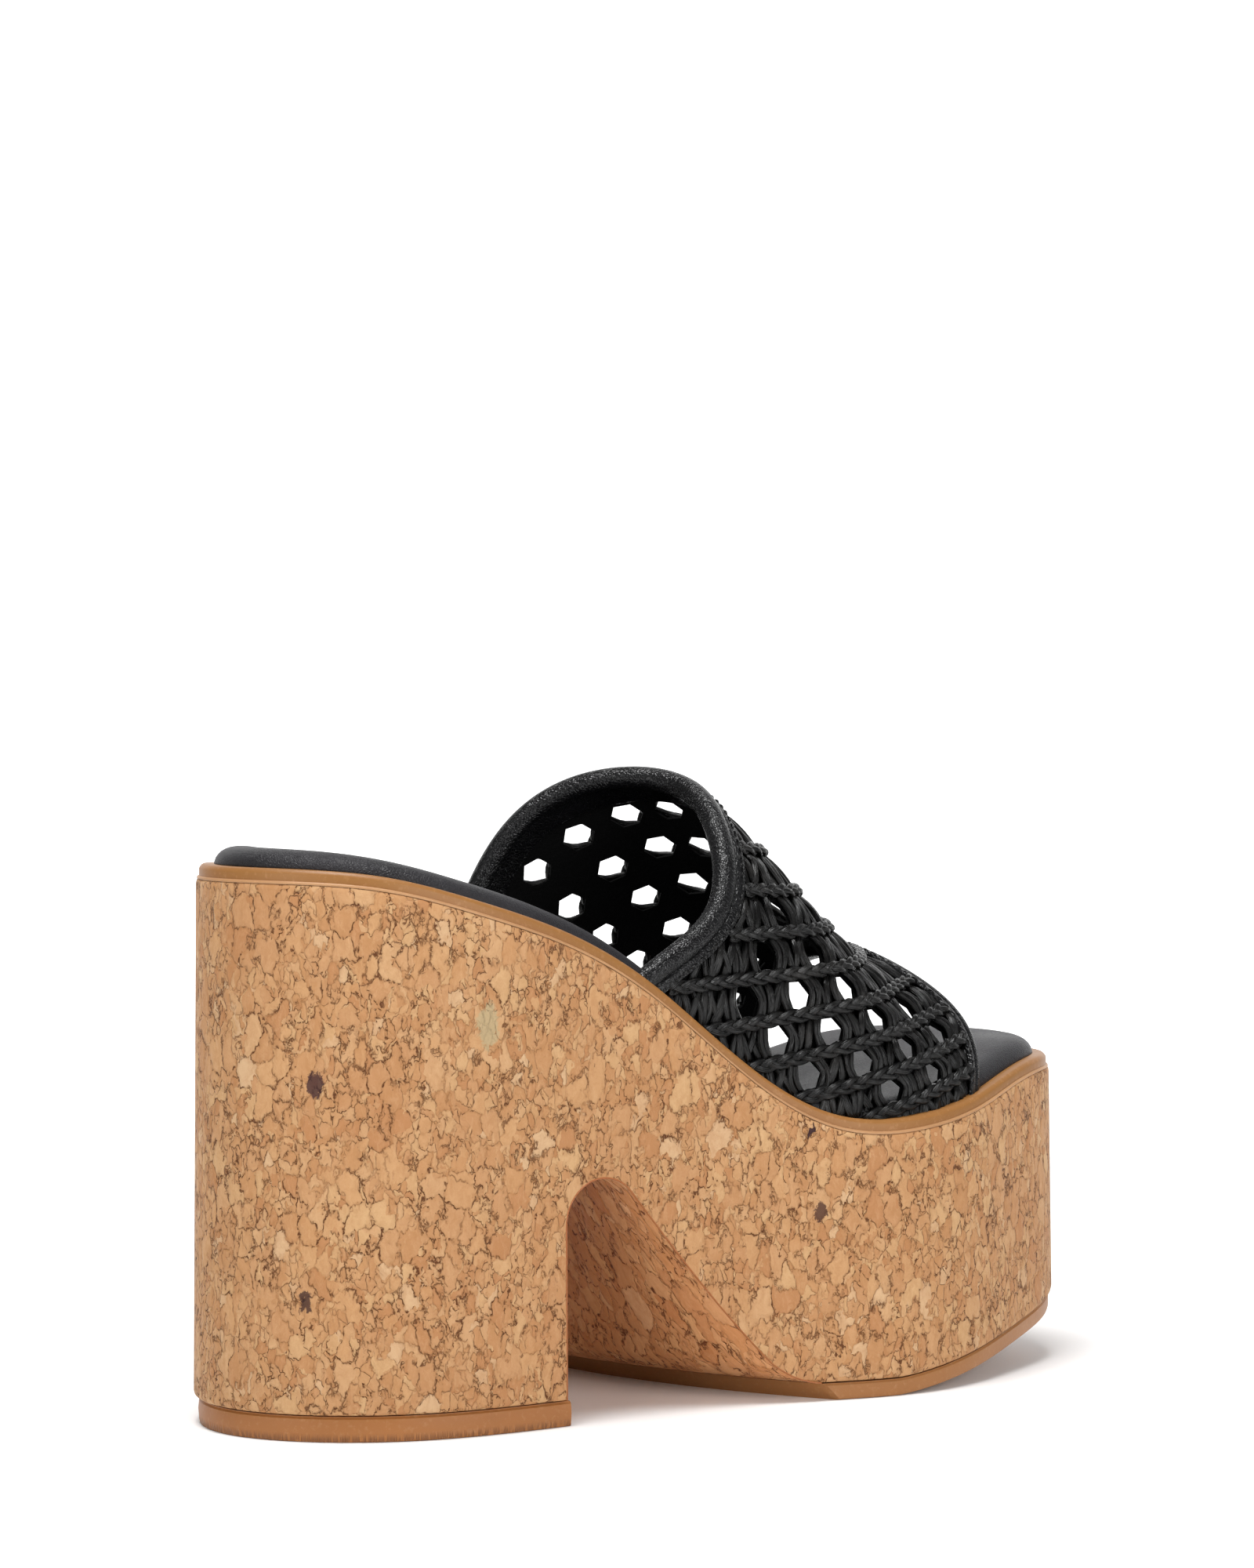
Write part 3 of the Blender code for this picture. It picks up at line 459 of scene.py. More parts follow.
# Takes cutters out of a piece with exact Booleans, keeps the result as its own mesh, and removes the cutters.
def carve(thing, cutters, crease=35):
    for cutter in cutters:
        change = thing.modifiers.new("carve", "BOOLEAN")
        change.operation, change.solver, change.object = "DIFFERENCE", "EXACT", cutter
        change.material_mode = "TRANSFER"
    graph = bpy.context.evaluated_depsgraph_get()
    made = bpy.data.meshes.new_from_object(thing.evaluated_get(graph))
    thing.modifiers.clear()
    thing.data = made
    made.shade_smooth()
    made.set_sharp_from_angle(angle=math.radians(crease))
    for cutter in cutters:
        bpy.data.objects.remove(cutter)


# Quads between neighbouring rings of a (rings, around) grid, closed round each ring.
def ringFaces(rings, around, first=0):
    k, j = np.meshgrid(np.arange(rings - 1), np.arange(around), indexing="ij")
    n = (j + 1) % around
    quads = np.stack([k * around + j, k * around + n, (k + 1) * around + n, (k + 1) * around + j], axis=-1)
    return quads.reshape(-1, 4) + first


# A closed foot-shaped body. Each level is (inset, height function); both ends shrink to the spine by
# point = spine + share * (edge - spine), with share going from 1 to 0.
def footForm(levels, steps, capShares, domes=(None, None)):
    rings = []
    for inset, height in levels:
        x, y = outlineRing(inset, steps)
        rings.append(np.column_stack([x, y, height(x)]))
    spineX = np.clip(rings[0][:, 0], 0.045, 0.185)
    capBottom, capTop = [], []
    for (inset, height), kept, ring in ((levels[0], capBottom, rings[0]), (levels[-1], capTop, rings[-1])):
        for share in capShares:
            x = spineX + share * (ring[:, 0] - spineX)
            y = share * ring[:, 1]
            kept.append(np.column_stack([x, y, height(x)]))
    if domes[1]:
        for share, ring in zip(capShares, capTop):
            ring[:, 2] += domes[1](ring[:, 0], ring[:, 1], share)
    grid = np.stack(capBottom[::-1] + rings + capTop)
    return grid.reshape(-1, 3), ringFaces(len(grid), grid.shape[1])


# Place along where the arch's slope and the sole end, at a way across.
def archEnd(y):
    return through(soleBack[:, 0], soleBack[:, 1] * shoe["length"], y / (ballWidth / 2))


# The arch's roof, t from 0 to 1: an arc from the upright breast, its tangent line down, then a Bezier curve
# whose control point lies on the sole, so that it runs out flat at its end.
def archRoof(end, t):
    foot = shoe["soleThickness"] + shoe["gap"]
    radius = shoe["archRadius"]
    centreX, centreZ = shoe["heelFront"] + radius, shoe["archHeight"] - radius
    stopX, stopZ = end - shoe["footRun"], foot + shoe["footRise"]
    reach = np.hypot(stopX - centreX, stopZ - centreZ)
    touch = np.arctan2(stopZ - centreZ, stopX - centreX) + np.arccos(radius / reach)
    arc = math.pi + (touch - math.pi) * np.clip(t / 0.4, 0, 1)
    touchX, touchZ = centreX + radius * np.cos(touch), centreZ + radius * np.sin(touch)
    line = np.clip((t - 0.4) / 0.35, 0, 1)
    run = np.clip((t - 0.75) / 0.25, 0, 1)
    x = centreX + radius * np.cos(arc) + (stopX - touchX) * line
    z = centreZ + radius * np.sin(arc) + (stopZ - touchZ) * line
    controlX = end - shoe["footRun"] / 2
    x = x + 2 * run * (1 - run) * (controlX - stopX) + run**2 * (end - stopX)
    z = z + (2 * run * (1 - run) + run**2) * (foot - stopZ)
    return x, z


# The space under the roof as a closed cutter, on stations across the shoe. Below the roof's end the sole's rear
# face leans forward by the undercut.
def archCutter(name, undercut=0.0):
    across = np.concatenate([[-0.09], np.linspace(-0.05, 0.05, 29), [0.09]])
    t = np.concatenate([np.linspace(0, 0.4, 22), np.linspace(0.4, 0.75, 5)[1:], np.linspace(0.75, 1, 8)[1:]])
    x, z = archRoof(archEnd(across)[:, None], t[None, :])
    x = np.concatenate([x, x[:, -1:] + undercut, np.full((len(across), 1), shoe["heelFront"])], axis=1)
    z = np.concatenate([z, np.full((len(across), 2), -0.004)], axis=1)
    size = x.shape[1]
    points = np.stack([x, np.broadcast_to(across[:, None], x.shape), z], axis=-1).reshape(-1, 3)
    faces = ringFaces(len(across), size).tolist()
    faces += [tuple(range(size)), tuple(range((len(across) - 1) * size, len(across) * size))]
    return makePiece(name, points, faces, corkInner, None)


corkBody = {"steps": 150, "round": 0.0012}
flare, rounding = -shoe["wallFlare"], corkBody["round"]


def risen(function, rise):
    return lambda x: function(x) + rise


def level(height):
    return lambda x: np.full_like(x, height)


# The cork's wall rises straight from foot to top: share of the way up between the two rounded edges.
def corkLevel(share):
    inset = flare * (1 - share)
    return inset, lambda x: (1 - share) * (corkFoot(x) + rounding) + share * (corkTop(x) - rounding)


arc = np.linspace(0, math.pi / 2, 4)
levels = [(flare + rounding * (1 - math.sin(a)), risen(corkFoot, rounding * (1 - math.cos(a)))) for a in arc]
levels += [corkLevel(share) for share in np.linspace(0, 1, 10)[1:]]
levels += [(rounding / 2 * (1 - math.cos(a)), risen(corkTop, -rounding * (1 - math.sin(a)))) for a in arc[1:]]
points, faces = footForm(levels, corkBody["steps"], (0.8, 0.5, 0.0))
corkPiece = makePiece("cork_body", points, faces, cork, "cork", ["cork_platform"], merge=1e-6)
carve(corkPiece, [archCutter("archSpace")])
print("cork body", len(corkPiece.data.polygons))


# A box between two places along, wider than the shoe, as a cutter.
def slabCutter(low, high, floor=-0.02, top=0.05):
    x, y, z = np.meshgrid([low, high], [-0.08, 0.08], [floor, top], indexing="ij")
    points = np.column_stack([x.ravel(), y.ravel(), z.ravel()])
    faces = [(0, 1, 3, 2), (4, 6, 7, 5), (0, 4, 5, 1), (2, 3, 7, 6), (0, 2, 6, 4), (1, 5, 7, 3)]
    return makePiece("slabCutter", points, faces, None, None)


lift = {"inset": shoe["liftInset"] - shoe["wallFlare"], "round": 0.0006, "bulge": 0.0002, "top": 0.0004}
liftInset, liftRound, liftTop = lift["inset"], lift["round"], shoe["liftThickness"]
levels = [
    (liftInset + liftRound, level(0.0)), (liftInset + 0.2 * liftRound, level(0.2 * liftRound)),
    (liftInset, level(liftRound)), (liftInset - lift["bulge"], level(0.003)),
    (liftInset, level(liftTop - 0.0006)), (liftInset + lift["top"], level(liftTop - 0.0002)),
    (liftInset + lift["top"], level(liftTop))]
points, faces = footForm(levels, 150, (0.5, 0.0))
liftPiece = makePiece("heel_lift_rubber", points, faces, liftRubber, "tan_rubber", ["heel_top_lift"],
                      merge=1e-6)
carve(liftPiece, [slabCutter(shoe["heelFront"] + shoe["liftStep"], 0.3)])

soleInset = shoe["soleInset"] - shoe["wallFlare"]
thick = shoe["soleThickness"]
levels = [
    (soleInset + 0.0008, tread), (soleInset + 0.0002, risen(tread, 0.0002)), (soleInset, risen(tread, 0.0008)),
    (soleInset, risen(tread, thick - 0.0005)), (soleInset + 0.0003, risen(tread, thick - 0.0001)),
    (soleInset + 0.0003, risen(tread, thick))]
points, faces = footForm(levels, 150, (0.5, 0.0))
solePiece = makePiece("forefoot_sole_rubber", points, faces, tanRubber, "tan_rubber", ["outsole"], merge=1e-6)
carve(solePiece, [slabCutter(-0.05, shoe["soleStart"]), archCutter("archSpaceSole", shoe["soleUndercut"])])
while len(solePiece.data.materials) > 1:
    solePiece.data.materials.pop()
print("lift and sole made")


# A section (inset, rise over the cork) carried round the whole outline.
def rimRing(name, section, material, slot, nodes=(), steps=170, crease=35):
    rings = []
    for inset, rise in section:
        x, y = outlineRing(inset, steps)
        rings.append(np.column_stack([x, y, corkTop(x) + rise]))
    grid = np.stack(rings, axis=1)
    return makePiece(name, grid.reshape(-1, 3), ringFacesClosed(*grid.shape[:2]), material, slot, nodes,
                     crease=crease)


# Quads of a (stations, section) grid closed both ways.
def ringFacesClosed(stations, size):
    k, j = np.meshgrid(np.arange(stations), np.arange(size), indexing="ij")
    n, m = (k + 1) % stations, (j + 1) % size
    return np.stack([k * size + j, n * size + j, n * size + m, k * size + m], axis=-1).reshape(-1, 4)


welt = {"inset": 0.0007, "width": 0.0030, "height": 0.0030}
base, weltEdge = shoe["gap"], welt["inset"]
weltBack = welt["inset"] + welt["width"] + 0.0012
rimRing("welt_strip", [
    (weltEdge, base), (weltEdge, base + 0.0019), (weltEdge + 0.00015, base + 0.0023),
    (weltEdge + 0.0006, base + 0.0028), (weltEdge + 0.0009, base + 0.0030),
    (weltBack, base + welt["height"]), (weltBack, base)], weltTan, "tan_welt", ["welt"], crease=50)
rimRing("welt_lip", [
    (weltEdge - 0.00045, base - 0.0003), (weltEdge - 0.0005, base), (weltEdge - 0.00035, base + 0.00025),
    (weltEdge, base + 0.0004), (weltEdge + 0.001, base + 0.0003), (weltEdge + 0.001, base - 0.0003)],
    lipTan, "tan_welt", crease=50)

insole = {"inset": 0.0040, "height": 0.0075, "round": 0.0070, "heelDish": 0.0012, "toeDish": 0.0007}


# Dishes pressed by the foot: depth * exp(-(distance from its centre / size) ** 2), fading to 0 at the edge.
def footDish(x, y, share):
    heel = np.exp(-((x - 0.038) / 0.030)**2 - (y / 0.022)**2)
    ball = np.exp(-((x - 0.160) / 0.030)**2 - (y / 0.030)**2)
    toes = np.exp(-((x - 0.205) / 0.012)**2 - ((y - 0.012) / 0.014)**2)
    fade = np.clip((1 - share) * 2.5, 0, 1)
    return -(insole["heelDish"] * heel + insole["toeDish"] * (ball + toes)) * fade


# The pad's side and crown: a quarter of a superellipse from its edge to its top.
bend = np.linspace(0, math.pi / 2, 9)
low = 0.35 * insole["height"]
padEdge = insole["inset"]
levels = [(padEdge + 0.0006, risen(corkTop, shoe["gap"])), (padEdge + 0.0001, risen(corkTop, 0.0030)),
          (padEdge, risen(corkTop, low))]
levels += [(insole["inset"] + insole["round"] * (1 - math.cos(a)**0.8),
            risen(corkTop, low + (insole["height"] - low) * math.sin(a)**0.9)) for a in bend[1:]]
points, faces = footForm(levels, 150, (0.93, 0.85, 0.75, 0.6, 0.45, 0.3, 0.15, 0.0), (None, footDish))
insolePiece = makePiece("padded_insole", points, faces, greyLeather, "grey_leather", ["insole"],
                        merge=1e-6, crease=180)
print("welt and insole made")

# The open-work: rows of chains, their pitch and slope on each side, and the holes between them.
net = {
    "rowFirst": -7, "rowLast": 5, "rowPitch": 0.0091, "rowTop": 0.0456, "rowSlope": -0.0144, "rowClose": 6.07,
    "rowPivot": 0.138, "medialRow": -3.5, "medialPitch": 0.0105, "crestBlend": (70.0, 110.0),
    "ridgeWidth": 0.0030, "stitchPitch": 0.0145, "holeAnchor": 0.1421, "medialLast": -2,
    "medialTurns": (56.0, 72.0, 88.0, 104.0, 119.0, 135.5, 151.5, 167.0),
    "holeWidth": 0.0066, "holeMargin": 0.0003, "holeEase": 1.12, "collarFlange": 0.0046, "toeFlange": 0.0032,
    "weltHeight": 0.0030, "bandLimit": 0.0075, "shortestSpan": 0.0004, "outerRise": -0.0002,
    "innerRise": 0.0008,
}
# place along of the row medialRow, at turns over the foot in degrees
medialLine = np.array([
    (90.0, 0.5565), (103.0, 0.5726), (119.0, 0.5874), (137.0, 0.5930), (151.0, 0.5991), (180.0, 0.6043)])


# Row number of a place: (top - height) / pitch on the lateral side, (place along - line) / pitch on the medial
# side, and a soft change from one to the other over the crest.
def rowAt(x, turn):
    ahead = x - net["rowPivot"]
    pitch = net["rowPitch"] * (1 - net["rowClose"] * ahead)
    side = (shoe["ballHeight"] + net["rowTop"] + net["rowSlope"] * ahead - vampPoint(x, turn)[..., 2]) / pitch
    line = through(np.radians(medialLine[:, 0]), medialLine[:, 1] * shoe["length"], turn)
    begin, end = np.radians(net["crestBlend"])
    share = np.clip((turn - begin) / (end - begin), 0, 1)
    share = share * share * (3 - 2 * share)
    return side * (1 - share) + (net["medialRow"] + (x - line) / net["medialPitch"]) * share


rowX = np.linspace(crest[0, 0] * shoe["length"], crest[-1, 0] * shoe["length"], 240)
rowTurn = np.linspace(0.0, math.pi, 1081)
rowNumbers = rowAt(*np.meshgrid(rowX, rowTurn, indexing="ij"))


# Places and turns along one row, from the lateral base over the crest to the medial base.
def rowLine(number):
    place = np.array([np.interp(number, numbers, rowX) for numbers in rowNumbers.T])
    return place, rowTurn, (rowNumbers[0] < number) & (rowNumbers[-1] > number)


# Runs of a row between the collar and the toe edge, less the margins, and over a height on the welt.
def stretches(line, collarMargin, toeMargin, lift):
    place, turn, reached = line
    inside = reached & (place > vampEdge(turn, "collar") + collarMargin)
    inside &= place < vampEdge(turn, "toe") - toeMargin
    inside &= vampPoint(place, turn)[:, 2] > corkTop(place) + lift
    marks = np.flatnonzero(np.diff(np.concatenate([[0], inside.astype(int), [0]])))
    for begin, stop in marks.reshape(-1, 2):
        if stop - begin > 3:
            points = vampPoint(place[begin:stop], turn[begin:stop])
            length = np.concatenate([[0], np.cumsum(np.linalg.norm(np.diff(points, axis=0), axis=1))])
            yield {"place": place[begin:stop], "turn": turn[begin:stop], "length": length}


# Place, turn and unit direction of a row at lengths from its start.
def rowSpots(row, at):
    reach = net["ridgeWidth"]
    spots = np.clip(np.stack([at - reach, at, at + reach]), 0, row["length"][-1])
    x = np.interp(spots, row["length"], row["place"])
    turn = np.interp(spots, row["length"], row["turn"])
    ends = vampPoint(x, turn)
    return x[1], turn[1], unit(ends[2] - ends[0])


# Places and turns moved by a along and b across the row, solved on the vamp's tangent plane.
def shifted(x, turn, ahead, a, b):
    along, across, normal = vampFrame(x, turn)
    beside = np.cross(normal, ahead)
    solve = np.linalg.pinv(np.stack([along, across], axis=-1))
    moves = a[..., None] * ahead[:, None] + b[..., None] * beside[:, None]
    change = np.einsum("nij,nmj->nmi", solve, moves)
    return x[:, None] + change[..., 0], turn[:, None] + change[..., 1]


# Half the band's height on the surface at spots of its middle line: half a row / rows per metre across.
def bandHalf(x, turn, ahead):
    reach = np.broadcast_to(np.array([-0.5, 0.5]) * net["ridgeWidth"], (len(x), 2))
    climb = np.ptp(rowAt(*shifted(x, turn, ahead, np.zeros_like(reach), reach)), axis=1) / net["ridgeWidth"]
    return 0.5 / climb


# The holes' middles on a band: at given turns on the medial bands, or at every pitch, half a pitch on from those of
# the next band.
def holeLengths(row, number):
    place, turn, length = row["place"], row["turn"], row["length"]
    side = turn < math.pi / 2
    if number < net["medialLast"]:
        return np.interp(np.radians(net["medialTurns"]), turn, length)
    anchor = np.interp(net["holeAnchor"], place[side], length[side]) if side.any() else 0.0
    anchor += (number % 2) * 0.5 * net["stitchPitch"]
    return np.arange(anchor % net["stitchPitch"], length[-1], net["stitchPitch"])


# Tubes: each ring = point + side * wide * cos a + up * tall * sin a, for many paths at once, ends closed.
def tubes(points, normals, wide, tall, sides):
    count, steps = points.shape[:2]
    ahead = unit(np.gradient(points, axis=1))
    side = unit(np.cross(normals, ahead))
    up = np.cross(ahead, side)
    angle = 2 * math.pi * np.arange(sides) / sides
    wide, tall = (np.broadcast_to(size, (count, steps))[..., None, None] for size in (wide, tall))
    across = np.cos(angle)[None, None, :, None] * wide
    rise = np.sin(angle)[None, None, :, None] * tall
    grid = points[:, :, None] + side[:, :, None] * across + up[:, :, None] * rise
    pieces = np.linalg.norm(np.diff(points, axis=1), axis=2)
    run = np.concatenate([np.zeros((count, 1)), np.cumsum(pieces, axis=1)], 1)
    run = run + np.arange(count)[:, None] * 0.37  # each strand has its own stretch of the fibres' pattern
    lay = np.concatenate([np.broadcast_to(run[:, :, None, None], across.shape[:2] + (sides, 1)),
                          across, rise], axis=-1)
    k, j = np.meshgrid(np.arange(steps - 1), np.arange(sides), indexing="ij")
    n = (j + 1) % sides
    quads = np.stack([k * sides + j, k * sides + n, (k + 1) * sides + n, (k + 1) * sides + j], -1)
    first = (np.arange(count) * steps * sides)[:, None, None]
    quads = (quads.reshape(-1, 4)[None] + first).reshape(-1, 4)
    around = np.arange(sides)
    caps = np.concatenate([first[:, 0] + around[::-1], first[:, 0] + (steps - 1) * sides + around])
    return grid.reshape(-1, 3), quads, caps, lay.reshape(-1, 3)


# Several lots of tubes as one set of points and faces.
class Bundle:
    def __init__(self):
        self.points, self.faces, self.lay, self.count = [], [], [], 0

    def add(self, points, normals, wide, tall, sides=7):
        made, quads, caps, lay = tubes(points, normals, wide, tall, sides)
        self.points.append(made)
        self.lay.append(lay)
        self.faces += (quads + self.count).tolist() + (caps + self.count).tolist()
        self.count += len(made)

    def piece(self, name, material, slot, nodes=()):
        return makePiece(name, np.concatenate(self.points), self.faces, material, slot, nodes,
                         lay=np.concatenate(self.lay), crease=180)


# Strand paths over the vamp: places moved by a and b from each spot, then lifted by h along the normal.
def strands(x, turn, ahead, a, b, h):
    xs, turns = shifted(x, turn, ahead, a, b)
    normal = vampFrame(xs, turns)[2]
    return vampPoint(xs, turns) + normal * h[..., None], normal


chain = {
    "margins": (0.0036, 0.0024, 0.0030), "pitch": 0.0125, "shortest": 0.006, "step": 0.0009, "sway": 0.00108,
    "rise": 0.00150, "dip": 0.00058, "wide": 0.00088, "tall": 0.00074, "swell": 0.16}


# A chain: three strands, b = sway * sin(p + k 2 pi / 3), h = rise + dip * sin(2 p + k 4 pi / 3), p growing along
# the row.
def addChain(bundle, row):
    length = row["length"][-1]
    if length < chain["shortest"]:
        return
    at = np.linspace(0, length, max(4, int(length / chain["step"])))
    x, turn, ahead = rowSpots(row, at)
    for k in range(3):
        phase = 2 * math.pi * at / chain["pitch"] + k * 2 * math.pi / 3
        b = chain["sway"] * np.sin(phase)
        h = chain["rise"] + chain["dip"] * np.sin(2 * phase)
        points, normal = strands(x, turn, ahead, np.zeros((len(at), 1)), b[:, None], h[:, None])
        swell = 1 + chain["swell"] * np.cos(2 * phase + 0.8)
        bundle.add(points[None, :, 0], normal[None, :, 0], chain["wide"] * swell, chain["tall"] * swell)


# Solid lengths of a band between its holes, as (start, stop, hole before, hole after).
def solidSpans(length, holes):
    half = net["holeWidth"] / 2
    marks = [0.0] + [m for hole in holes for m in (hole - half, hole + half)] + [length]
    ends = [False] + [True] * (2 * len(holes)) + [False]
    return [(marks[k], marks[k + 1], ends[k], ends[k + 1]) for k in range(0, len(marks), 2)
            if marks[k + 1] - marks[k] > net["shortestSpan"]]


chains, posts = Bundle(), Bundle()
for number in range(net["rowFirst"], net["rowLast"] + 1):
    for row in stretches(rowLine(number), *chain["margins"]):
        addChain(chains, row)


# Six-sided holes of a run of a band: rings of places and turns, a little eased outward, and their middles.
def bandHoles(row, number):
    half = net["holeWidth"] / 2
    at = holeLengths(row, number)
    at = at[(at >= half) & (at <= row["length"][-1] - half)]
    if not len(at):
        return [], []
    x, turn, ahead = rowSpots(row, at)
    tall = np.minimum(bandHalf(x, turn, ahead) - net["ridgeWidth"] / 2 - net["holeMargin"], half)
    corner = np.radians(np.arange(0, 360, 60))
    a = np.broadcast_to(half * np.cos(corner), (len(at), 6))
    b = tall[:, None] * np.sin(corner) / math.sin(math.radians(60))
    xs, turns = shifted(x, turn, ahead, a, b)
    clear = (vampPoint(xs, turns)[..., 2] - corkTop(xs)).min(axis=1)
    kept = np.flatnonzero(clear > net["weltHeight"] + shoe["gap"] + net["holeMargin"])
    rings = [tuple(ring[k].mean() + (ring[k] - ring[k].mean()) * net["holeEase"] for ring in (xs, turns))
             for k in kept]
    return rings, [(x[k], turn[k]) for k in kept]


# Strands between the chains: two posts on each side of a hole, and leaves across the rest of the band.
post = {
    "margins": (0.0030, 0.0022, 0.0015), "count": 2, "first": 0.0004, "pitch": 0.0011, "bow": 0.00165,
    "bowStep": 0.0003, "shake": 0.00022, "rise": 0.00020, "puff": 0.00085, "puffSpread": 0.0003,
    "riseStep": 0.00030, "wide": 0.00076, "tall": 0.00068}
leaf = {
    "clear": 0.0022, "pitch": 0.00155, "slant": 0.0008, "slantSpread": 0.0021, "fan": 0.0008, "shake": 0.00022,
    "rise": 0.00015, "puff": 0.0012, "puffSpread": 0.00045, "wide": 0.00108, "tall": 0.00070}
ridgeHalf = net["ridgeWidth"] / 2
holeMargins = (net["collarFlange"] + ridgeHalf, net["toeFlange"] + ridgeHalf,
               net["weltHeight"] + ridgeHalf + shoe["gap"])
holeRings, postSpots, leafSpots = [], [], []
for number in range(net["rowFirst"] - 1, net["rowLast"] + 1):
    line = rowLine(number + 0.5)
    holed = []
    for row in stretches(line, *holeMargins):
        rings, middles = bandHoles(row, number)
        holeRings += rings
        holed += middles
    for row in stretches(line, *post["margins"]):
        middles = [np.interp(t, row["turn"], row["length"]) for x, t in holed
                   if row["turn"][0] <= t <= row["turn"][-1]]
        for start, stop, before, after in solidSpans(row["length"][-1], sorted(middles)):
            posting = range(post["count"])
            if before:
                postSpots += [(row, start + post["first"] + post["pitch"] * j, 1, j) for j in posting]
            if after:
                postSpots += [(row, stop - post["first"] - post["pitch"] * j, -1, j) for j in posting]
            lowEnd = start + (leaf["clear"] if before else 0.0)
            wide = stop - (leaf["clear"] if after else 0.0) - lowEnd
            count = max(1, int(round(wide / leaf["pitch"])))
            leafSpots += [(row, lowEnd + wide * (k + 0.5) / count, k, count) for k in range(count)]
print("holes", len(holeRings), "posts", len(postSpots), "leaves", len(leafSpots))


# Of strands on several rows: places, turns and directions, then as columns half the band's height, the last two
# values of each spot and the strand's number.
def gather(spots):
    found = [rowSpots(row, np.array([at])) for row, at, *rest in spots]
    x, turn, ahead = [np.concatenate(parts) for parts in zip(*found)]
    half = np.minimum(bandHalf(x, turn, ahead)[:, None], net["bandLimit"])
    first, second = np.array([spot[2:] for spot in spots]).T[..., None]
    return (x, turn, ahead), half, first, second, np.arange(len(spots))[:, None]


along = np.linspace(-1, 1, 8)


# Posts stand beside a hole and bow round its six sides: a = -lean * bow * |b| ** 1.3,
# h = rise + puff * (1 - b ** 2).
def addPosts():
    spots, half, lean, order, seed = gather(postSpots)
    bow = -lean * (np.abs(along)**1.3) * (post["bow"] - post["bowStep"] * order)
    a = bow + post["shake"] * np.sin(seed * 2.4 + along * 2)
    puff = post["puff"] + post["puffSpread"] * np.sin(seed * 1.3)
    h = post["rise"] + puff * (1 - along**2) + post["riseStep"] * (order % 2)
    points, normal = strands(*spots, a, along * half, np.broadcast_to(h, a.shape))
    posts.add(points, normal, post["wide"], post["tall"] * (1 + 0.1 * np.sin(seed)))


# Leaves lean across the middle of each tuft and puff out: a = slant * b, h = rise + puff * (1 - b ** 2).
def addLeaves():
    spots, half, index, count, seed = gather(leafSpots)
    fan = (index + 0.5) / count - 0.5
    slant = leaf["slant"] + leaf["slantSpread"] * np.sin(seed * 2.39)
    a = slant * along + leaf["fan"] * fan * (1 - along) + leaf["shake"] * np.sin(seed * 3.1 + along * 3)
    puff = leaf["puff"] * (1 - (2 * fan)**2 * 0.8) + leaf["puffSpread"] * np.sin(seed * 5.3)
    h = leaf["rise"] + puff * (1 - along**2)
    points, normal = strands(*spots, a, along * half, h)
    swell = 0.45 + 0.55 * np.sqrt(np.clip(1 - along**2, 0, 1))
    posts.add(points, normal, leaf["wide"] * swell * (1 + 0.2 * np.sin(seed * 2.2)), leaf["tall"] * swell)


addPosts()
addLeaves()


# The net's thin backing: border and holes triangulated flat, put on the vamp's surface, then given two sides.
def netBacking():
    scaleTurn = ballWidth * 0.42 * 1000
    spots, lines, areas = [], [], []

    def add(xs, turns):
        first = len(spots)
        spots.extend(zip(np.asarray(xs) * 1000, np.asarray(turns) * scaleTurn))
        return list(range(first, len(spots)))

    def addArea(xs, turns):
        numbers = add(xs, turns)
        ring = np.array([spots[k] for k in numbers])
        after = np.roll(ring, -1, axis=0)
        turning = (ring[:, 0] * after[:, 1] - ring[:, 1] * after[:, 0]).sum()
        areas.append(numbers if turning > 0 else numbers[::-1])

    turns = np.linspace(0, math.pi, 91)
    collarX, toeX = vampEdge(turns, "collar"), vampEdge(turns, "toe")
    share = np.linspace(0, 1, 40)[1:-1]
    sideX = [collarX[-1] + (toeX[-1] - collarX[-1]) * share, toeX[0] + (collarX[0] - toeX[0]) * share]
    addArea(np.concatenate([collarX, sideX[0], toeX[::-1], sideX[1]]),
            np.concatenate([turns, np.full(len(share), math.pi), turns[::-1], np.zeros(len(share))]))
    for xs, angles in holeRings:
        addArea(xs, angles)
    gridTurn = np.linspace(0, math.pi, 60)[1:-1]
    gridX, gridTurn = np.meshgrid(np.arange(0.070, 0.190, 0.0024), gridTurn, indexing="ij")
    gridX, gridTurn = gridX.ravel(), gridTurn.ravel()
    inside = (gridX > vampEdge(gridTurn, "collar") + 0.001) & (gridX < vampEdge(gridTurn, "toe") - 0.001)
    add(gridX[inside], gridTurn[inside])
    places, _, triangles, _, _, owners = delaunay_2d_cdt(spots, lines, areas, 1, 1e-6, True)
    flat = np.array([tuple(place) for place in places])
    x, turn = flat[:, 0] / 1000, flat[:, 1] / scaleTurn
    kept = np.array([tri for tri, owner in zip(triangles, owners) if list(owner) == [0]])
    middle, normal = vampPoint(x, turn), vampFrame(x, turn)[2]
    points = np.concatenate([middle + normal * net["outerRise"], middle - normal * net["innerRise"]])
    count = len(x)
    sides = {(int(tri[k]), int(tri[(k + 1) % 3])) for tri in kept for k in range(3)}
    rim = [pair for pair in sides if pair[::-1] not in sides]
    faces = kept.tolist() + (kept[:, ::-1] + count).tolist() + [(b, a, a + count, b + count) for a, b in rim]
    used = np.zeros(len(points), bool)
    used[[k for face in faces for k in face]] = True
    number = np.cumsum(used) - 1
    return points[used], [tuple(number[k] for k in face) for face in faces]


points, faces = netBacking()
makePiece("net_backing", points, faces, lining, "charcoal_cord", ["upper"], crease=40)
chains.piece("net_chains", raffia, "charcoal_cord")
posts.piece("net_tufts", raffia, "charcoal_cord")
print("net made", len(chains.faces), len(posts.faces))

